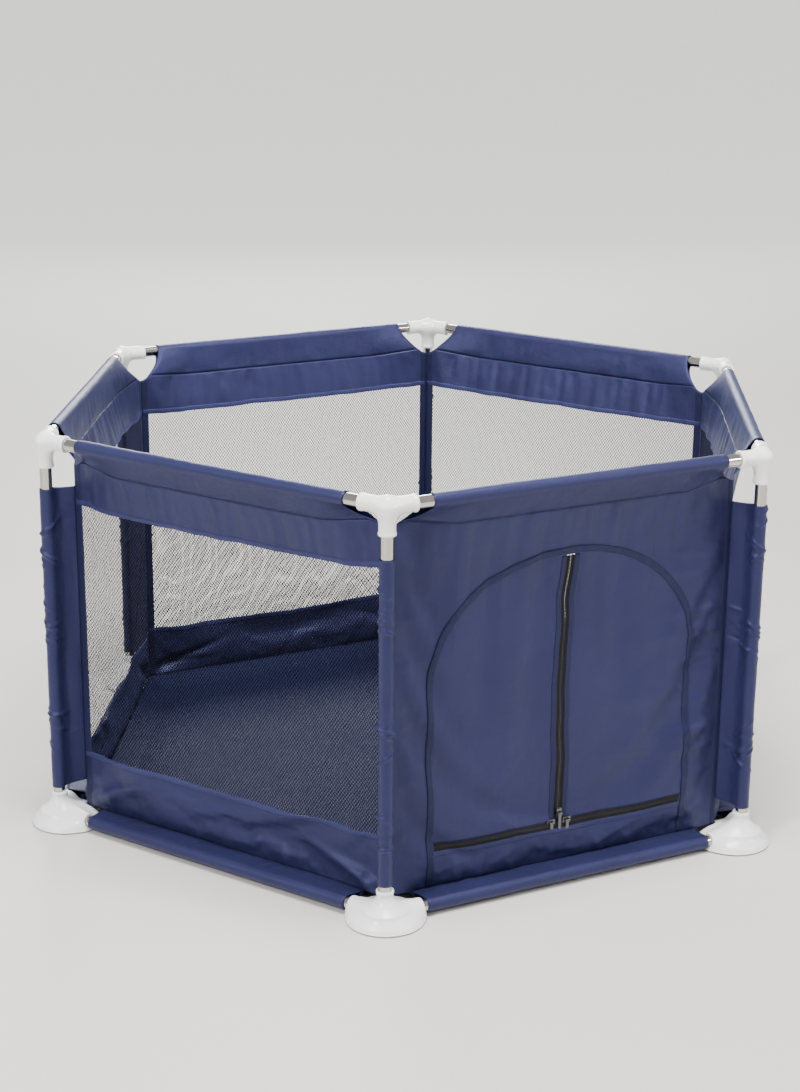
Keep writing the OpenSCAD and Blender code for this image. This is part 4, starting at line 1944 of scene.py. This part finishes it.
    def leaf_cloth(self, way: int, name: str) -> None:
        """Builds the cloth, lapel and stitches on one side of the upright zip.

        Args:
            way: Which leaf.
            name: Its name.
        """
        lip = self.sill + self.shown_level
        curve = self.arch_line()[:48]
        corners = [[self.shown, lip], [self.half, lip], *curve.tolist(), [0.0, self.crown],
                   [0.0, self.zip_top + 2 * MM], [self.shown, self.zip_top + 2 * MM]]
        outline = np.array(corners) * [way, 1]
        surface = self.wall.patch(outline, [], self.step)
        middle = way * (self.shown - 0.5 * MM + self.lapel / 2)
        path = np.array([[middle, lip - 1 * MM], [middle, self.zip_top]])
        lapel = self.wall.strip(path, cushioned(self.lapel, 2 * MM), out=0.5 * MM, pucker=0.25)
        lapel_piece = self.hang(lapel.object(f"zip_lapel_{name}", BINDING), way, "cover_cloth")
        rows = []
        for off in (-self.lapel / 2 + 1.4 * MM, self.lapel / 2 - 1.4 * MM):
            row = path + [off, 0]
            rows += [self.wall.stitches(row, 1.4 * MM), self.wall.stitches(row, -0.5 * MM)]
        thread = self.hang(stacked(rows).object(f"zip_lapel_stitches_{name}", THREAD), way, "cover_cloth")
        piece = self.sheet(f"leaf_cloth_{name}", surface, NAVY, Form.STRETCHED, self.thick, "door_panel",
                           [lapel_piece, thread])
        self.hang(piece, way, "cover_cloth", f"door_leaf_{name}")

    def coil(self, start: Array, end: Array, shift: float) -> Mesh:
        """The nylon coil along one edge of a zip tape.

        Args:
            start: The flat place of one end of the tape's edge.
            end: The flat place of the other end.
            shift: How far the coil is turned, as a share of a turn.

        Returns:
            The coil as a tube.
        """
        pitch, wide, deep, wire = 1.7 * MM, 1.55 * MM, 0.6 * MM, 0.38 * MM
        length = float(np.linalg.norm(end - start))
        way = (end - start) / length
        side = np.array([-way[1], way[0]])
        turns = length / pitch
        t = np.linspace(0, turns, round(turns * 8)) + shift
        along = (t - shift) * pitch
        across = wide * np.cos(2 * math.pi * t)
        out = deep * np.sin(2 * math.pi * t)
        flat = start + along[:, None] * way + across[:, None] * side
        line = np.stack([flat[:, 0], out, flat[:, 1]], axis=1)
        tangent = np.gradient(line, axis=0)
        tangent /= np.linalg.norm(tangent, axis=1)[:, None]
        first = np.cross(tangent, np.array([way[0], 0, way[1]]))
        first /= np.linalg.norm(first, axis=1)[:, None]
        second = np.cross(tangent, first)
        ring = around(wire, 5)
        rings = line[:, None] + ring[None, :, :1] * first[:, None] + ring[None, :, 1:] * second[:, None]
        points = self.wall.place(rings[..., 0], rings[..., 2], rings[..., 1])
        cut = np.stack(np.broadcast_arrays(ring[None, :, 0], along[:, None]), axis=-1)
        return tube_of(points, cut)

    def half_zip(self, start: tuple[float, float], end: tuple[float, float], outer: float, shown: float,
                 shift: float) -> tuple[Mesh, Mesh]:
        """One half of a zip: its tape and its coil.

        Args:
            start: One end of the line between the two halves.
            end: The other end.
            outer: Which side of that line the half is on: -1 or 1.
            shown: How much of the tape's width shows.
            shift: How far its coil is turned, as a share of a turn.

        Returns:
            The tape and the coil.
        """
        first, last = np.array(start), np.array(end)
        way = (last - first) / np.linalg.norm(last - first)
        side = np.array([-way[1], way[0]]) * outer
        inner, far = self.tape_inner, shown + self.tape_seam
        middle = side * (inner + far) / 2
        tape = self.wall.strip(np.array([first + middle, last + middle]),
                               cushioned(far - inner, self.thick, square=4))
        coil = self.coil(first + side * self.coil_inner, last + side * self.coil_inner, shift)
        return tape, coil

    def zips(self, way: int, name: str) -> None:
        """Builds the halves of the zips that are sewn to one leaf.

        Args:
            way: Which leaf.
            name: Its name.
        """
        gap = 1.2 * MM
        upright = self.half_zip((0, self.sill + gap), (0, self.zip_top), -way, self.shown, 0.25 * (1 + way))
        level = self.half_zip((way * 1 * MM, self.sill), (way * self.zip_end, self.sill), way,
                              self.shown_level, 0.25 * (1 + way))
        tape = stacked([upright[0], level[0]])
        coil = stacked([upright[1], level[1]])
        self.hang(tape.object(f"zip_halves_{name}", ZIP_TAPE), way, "zip_tape", f"zip_tape_{name}")
        self.hang(coil.object(f"zip_coil_{name}", COIL), way, "zip_tape")

    def sill_zip(self) -> None:
        """Builds the lower halves of the level zips, their lapel and their stitches."""
        ends = (-self.zip_end, self.sill), (self.zip_end, self.sill)
        tape, coil = self.half_zip(*ends, -1, self.shown_level, 0.0)
        self.keep(tape.object("sill_zip_tape", ZIP_TAPE), "zip_tape", "zip_tape_sill")
        self.keep(coil.object("sill_zip_coil", COIL), "zip_tape")
        height = self.sill - self.shown_level - 3.5 * MM
        path = np.array([[-self.half + 4 * MM, height], [self.half - 4 * MM, height]])
        lapel = self.wall.strip(path, cushioned(8 * MM, 1.5 * MM), out=0.3 * MM, pucker=0.15)
        self.keep(lapel.object("sill_lapel", NAVY), "cover_cloth")
        rows = [self.wall.stitches(path + [0, off], out)
                for off in (-2.4 * MM, 2.4 * MM) for out in (0.95 * MM, -0.4 * MM)]
        self.keep(stacked(rows).object("sill_stitches", THREAD), "cover_cloth")


@dataclass
class Floor(Part):
    """The floor cloth: a shallow tray whose edges slope up to the walls.

    Attributes:
        thick: Thickness of the cloth.
        slope: Width of the sloping edge.
        rings: Rings of points from the middle to the edge.
        per_side: Points along each side of a ring.
    """

    thick: float = 0.8 * MM
    slope: float = 45 * MM
    rings: int = 90
    per_side: int = 90

    def build(self) -> None:
        """Builds the cloth."""
        low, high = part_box("floor_cloth")
        outer = high.x
        slope = self.slope
        share = np.linspace(0.003, 1, self.rings)
        edge = np.concatenate([np.linspace(-1, 1, self.per_side, endpoint=False)] * SIDES)
        sides = np.repeat(np.arange(SIDES), self.per_side)
        towards = np.radians(FIRST_CORNER + TURN * (sides + 0.5))
        apothem = outer * share[:, None]
        along = apothem * math.tan(math.radians(TURN / 2)) * edge[None, :]
        x = apothem * np.cos(towards) - along * np.sin(towards)
        y = apothem * np.sin(towards) + along * np.cos(towards)
        rise = np.clip((apothem + 0 * x - (outer - slope)) / slope, 0, 1)
        crumple = Crumple(7)
        bumps = crumple.at(x * 9, y * 9) + 0.5 * crumple.at(x * 30, y * 30)
        ripple = (bumps + 1.2) * 0.9 * MM * (1 - rise)
        z = low.z + self.thick + ripple + (high.z - low.z - self.thick) * rise**1.3
        points = np.stack([x, y, z], axis=-1)
        cut = np.stack([x, y], axis=-1)
        closed = np.concatenate([points, points[:, :1]], axis=1)
        closed_cut = np.concatenate([cut, cut[:, :1]], axis=1)
        surface = loft(closed, closed_cut)
        surface = welded(surface, self.rings, closed.shape[1])
        piece = self.sheet("floor_sheet", surface, FLOOR_NAVY, Form.LAID, self.thick, "low_band_1")
        self.keep(piece, "floor_cloth", "floor_cloth")


def welded(mesh: Mesh, rows: int, columns: int) -> Mesh:
    """A loft whose last column is merged with the first one and whose first row is closed by a face.

    Args:
        mesh: The loft.
        rows: Its rows.
        columns: Its columns.

    Returns:
        The mesh.
    """
    index = np.arange(rows * columns).reshape(rows, columns)
    index[:, -1] = index[:, 0]
    kept = np.unique(index)
    place = np.full(rows * columns, -1)
    place[kept] = np.arange(len(kept))
    to = place[index.ravel()]
    faces = [tuple(int(to[i]) for i in face) for face in mesh.faces]
    faces.append(tuple(int(to[i]) for i in index[0, :-1]))
    return Mesh(mesh.points[kept], faces, mesh.cut[kept])


Place = tuple[float, float, float]


@dataclass(frozen=True)
class Softbox:
    """A square soft light.

    Attributes:
        name: What it is called.
        place: Where it hangs, in metres.
        towards: The point that it faces.
        size: Length of its side.
        power: Its power in watts.
        colour: The colour of its light.
    """

    name: str
    place: Place
    towards: Place
    size: float
    power: float
    colour: tuple[float, float, float]

    def hang(self) -> None:
        """Adds the light to the scene."""
        data = bpy.data.lights.new(self.name, "AREA")
        data.size = self.size
        data.energy = self.power
        data.color = self.colour
        light = bpy.data.objects.new(self.name, data)
        light.location = self.place
        light.rotation_mode = "QUATERNION"
        light.rotation_quaternion = (Vector(self.towards) - Vector(self.place)).to_track_quat("-Z", "Y")
        bpy.context.scene.collection.objects.link(light)


@dataclass
class Studio:
    """The camera, the lights and the pale floor.

    Attributes:
        place: Where the camera stands, in metres.
        heading: How far it is turned from +Y towards +X, in degrees.
        pitch: How far it looks down, in degrees.
        roll: How far it is rolled, in degrees.
        lens: Its focal length in millimetres on a 36 mm sensor.
        extent: Distance from the yard's middle to the floor's edges.
        glow: The squares of the distances over which the far floor starts to glow.
        sky: Strength of the light from all round.
    """

    place: Place = (0.1702, -3.4258, 1.4594)
    heading: float = -3.127
    pitch: float = 17.333
    roll: float = 0.473
    lens: float = 68.76
    extent: float = 60.0
    glow: tuple[float, float] = (6.0, 36.0)
    sky: float = 0.55

    def build(self) -> None:
        """Sets up the studio."""
        self.camera()
        self.floor()
        self.lights()

    def camera(self) -> None:
        """Places the camera."""
        data = bpy.data.cameras.new("camera")
        data.lens = self.lens
        data.sensor_width = 36
        data.clip_start, data.clip_end = 0.05, 100
        camera = bpy.data.objects.new("camera", data)
        turned = Matrix.Rotation(-math.radians(self.heading), 4, "Z")
        tilted = Matrix.Rotation(math.radians(90 - self.pitch), 4, "X")
        rolled = Matrix.Rotation(math.radians(self.roll), 4, "Z")
        camera.matrix_world = Matrix.Translation(self.place) @ turned @ tilted @ rolled
        bpy.context.scene.collection.objects.link(camera)
        bpy.context.scene.camera = camera

    def floor(self) -> None:
        """Lays the pale floor, which glows far from the yard as if the whole studio were lit."""
        shader = Shader("pale_floor")
        cloud = shader.noise(shader.object_place(), 1.3, 3.0)
        tone = shader.mix(cloud, (0.62, 0.60, 0.575, 1.0), (0.66, 0.64, 0.615, 1.0))
        across, along, _ = shader.axes(shader.object_place())
        far = (across * across + along * along).fade(*self.glow)
        shader.surface({
            "Base Color": tone,
            "Roughness": 0.5,
            "Specular IOR Level": 0.3,
            "Emission Color": shader.mix(far, (0.0, 0.0, 0.0, 1.0), (0.93, 0.92, 0.90, 1.0)),
            "Emission Strength": 1.0,
        })
        size = self.extent
        corners = [(-size, -size, 0), (size, -size, 0), (size, size, 0), (-size, size, 0)]
        data = bpy.data.meshes.new("studio_floor")
        data.from_pydata(corners, [], [(0, 1, 2, 3)])
        data.materials.append(shader.material)
        floor = bpy.data.objects.new("studio_floor", data)
        bpy.context.scene.collection.objects.link(floor)

    def lights(self) -> None:
        """Hangs the soft lights and lights the studio from all round."""
        for box in (
            Softbox("sky_box", (0.3, -0.9, 3.9), (0.0, -0.2, 0.3), 1.5, 300.0, (1.0, 0.99, 0.97)),
            Softbox("back_box", (-0.6, 4.6, 2.6), (0.0, 0.0, 0.5), 2.0, 230.0, (0.96, 0.98, 1.0)),
            Softbox("front_box", (-2.6, -3.9, 3.2), (0.0, 0.0, 0.3), 0.7, 235.0, (1.0, 0.99, 0.98)),
            Softbox("right_box", (4.4, -1.6, 2.6), (0.0, 0.0, 0.3), 0.8, 100.0, (1.0, 0.99, 0.98)),
        ):
            box.hang()
        world = bpy.data.worlds.new("studio")
        world.use_nodes = True
        background = world.node_tree.nodes["Background"]
        background.inputs["Color"].default_value = (0.93, 0.94, 0.96, 1.0)
        background.inputs["Strength"].default_value = self.sky
        bpy.context.scene.world = world


def door_folds() -> list[Fold]:
    """The folds of the door wall, in flat places along and up, in metres."""
    draw = np.random.default_rng(90)
    folds = []
    for n in range(10):
        z = (128 + 40 * n + draw.uniform(-10, 10)) * MM
        end = ((120 + draw.uniform(0, 70)) * MM, z + draw.uniform(-6, 16) * MM)
        folds.append(Fold((290 * MM, z), end, 5.5 * MM, draw.uniform(1.4, 3.6) * MM, 2.2))
    for n in range(4):
        z = (205 + 88 * n + draw.uniform(-10, 10)) * MM
        folds.append(Fold((290 * MM, z), ((-20 + 30 * n) * MM, z - 6 * MM), 15 * MM, 3.6 * MM, 1.3))
    for n in range(5):
        z = (120 + 84 * n + draw.uniform(-14, 14)) * MM
        end = ((-200 + draw.uniform(-30, 40)) * MM, z + draw.uniform(4, 26) * MM)
        folds.append(Fold((-290 * MM, z), end, 6 * MM, draw.uniform(1.0, 2.4) * MM, 2.2))
    for n in range(10):
        x = (-240 + 53 * n + draw.uniform(-14, 14)) * MM
        end = (x + draw.uniform(-46, 46) * MM, 80 * MM)
        folds.append(Fold((x, 24 * MM), end, 6 * MM, draw.uniform(1.6, 3.8) * MM, 1.5))
    for n in range(4):
        x = (-170 + 96 * n + draw.uniform(-14, 14)) * MM
        end = (x + draw.uniform(-80, 80) * MM, (62 + 6 * n) * MM)
        folds.append(Fold((x - 40 * MM, 44 * MM), end, 5 * MM, draw.uniform(1.6, 3.0) * MM, 1.4))
    return folds + top_folds(draw)


def band_folds(side: int) -> list[Fold]:
    """The folds of a window wall's bands, in flat places along and up, in metres."""
    draw = np.random.default_rng(300 + side)
    folds = []
    for way in (-1, 1):
        for n in range(7):
            reach = 44 + 30 * n + draw.uniform(-12, 12)
            start = (way * 292 * MM, (23 + 3 * n) * MM)
            end = (way * (292 - reach) * MM, (36 + 13 * n + draw.uniform(-4, 4)) * MM)
            folds.append(Fold(start, end, 4.0 * MM, draw.uniform(2.4, 5.0) * MM, 2.4))
    for n in range(8):
        x = (-230 + 66 * n + draw.uniform(-20, 20)) * MM
        end = (x + draw.uniform(-50, 50) * MM, 92 * MM)
        folds.append(Fold((x, 24 * MM), end, 5.5 * MM, draw.uniform(-1.8, 3.0) * MM, 1.6))
    return folds + top_folds(draw)


def top_folds(draw: np.random.Generator) -> list[Fold]:
    """The short upright folds under a wall's top edge.

    Args:
        draw: Where their places are drawn from.

    Returns:
        The folds, in flat places along and up, in metres.
    """
    folds = []
    for n in range(9):
        x = (-255 + 62 * n + draw.uniform(-22, 22)) * MM
        end = (x + draw.uniform(-14, 14) * MM, (606 - draw.uniform(34, 74)) * MM)
        folds.append(Fold((x, 606 * MM), end, 5.5 * MM, draw.uniform(0.8, 2.4) * MM, 2.4))
    return folds


def main() -> None:
    """Builds the yard, sub-assembly by sub-assembly."""
    logging.basicConfig(level=logging.INFO, format="%(name)s: %(message)s")
    Studio().build()
    walls = [Wall(0, door_folds(), Settling(0.011, seed=11), sway=7 * MM)]
    walls += [Wall(side, band_folds(side), Settling(0.009, seed=20 + side)) for side in range(1, SIDES)]
    for wall in walls:
        wall.settle()
    Frame().build()
    Sleeves(walls).build()
    Door(walls[0]).build()
    for wall in walls[1:]:
        WindowWall(wall).build()
    Floor().build()


if __name__ == "__main__":
    main()
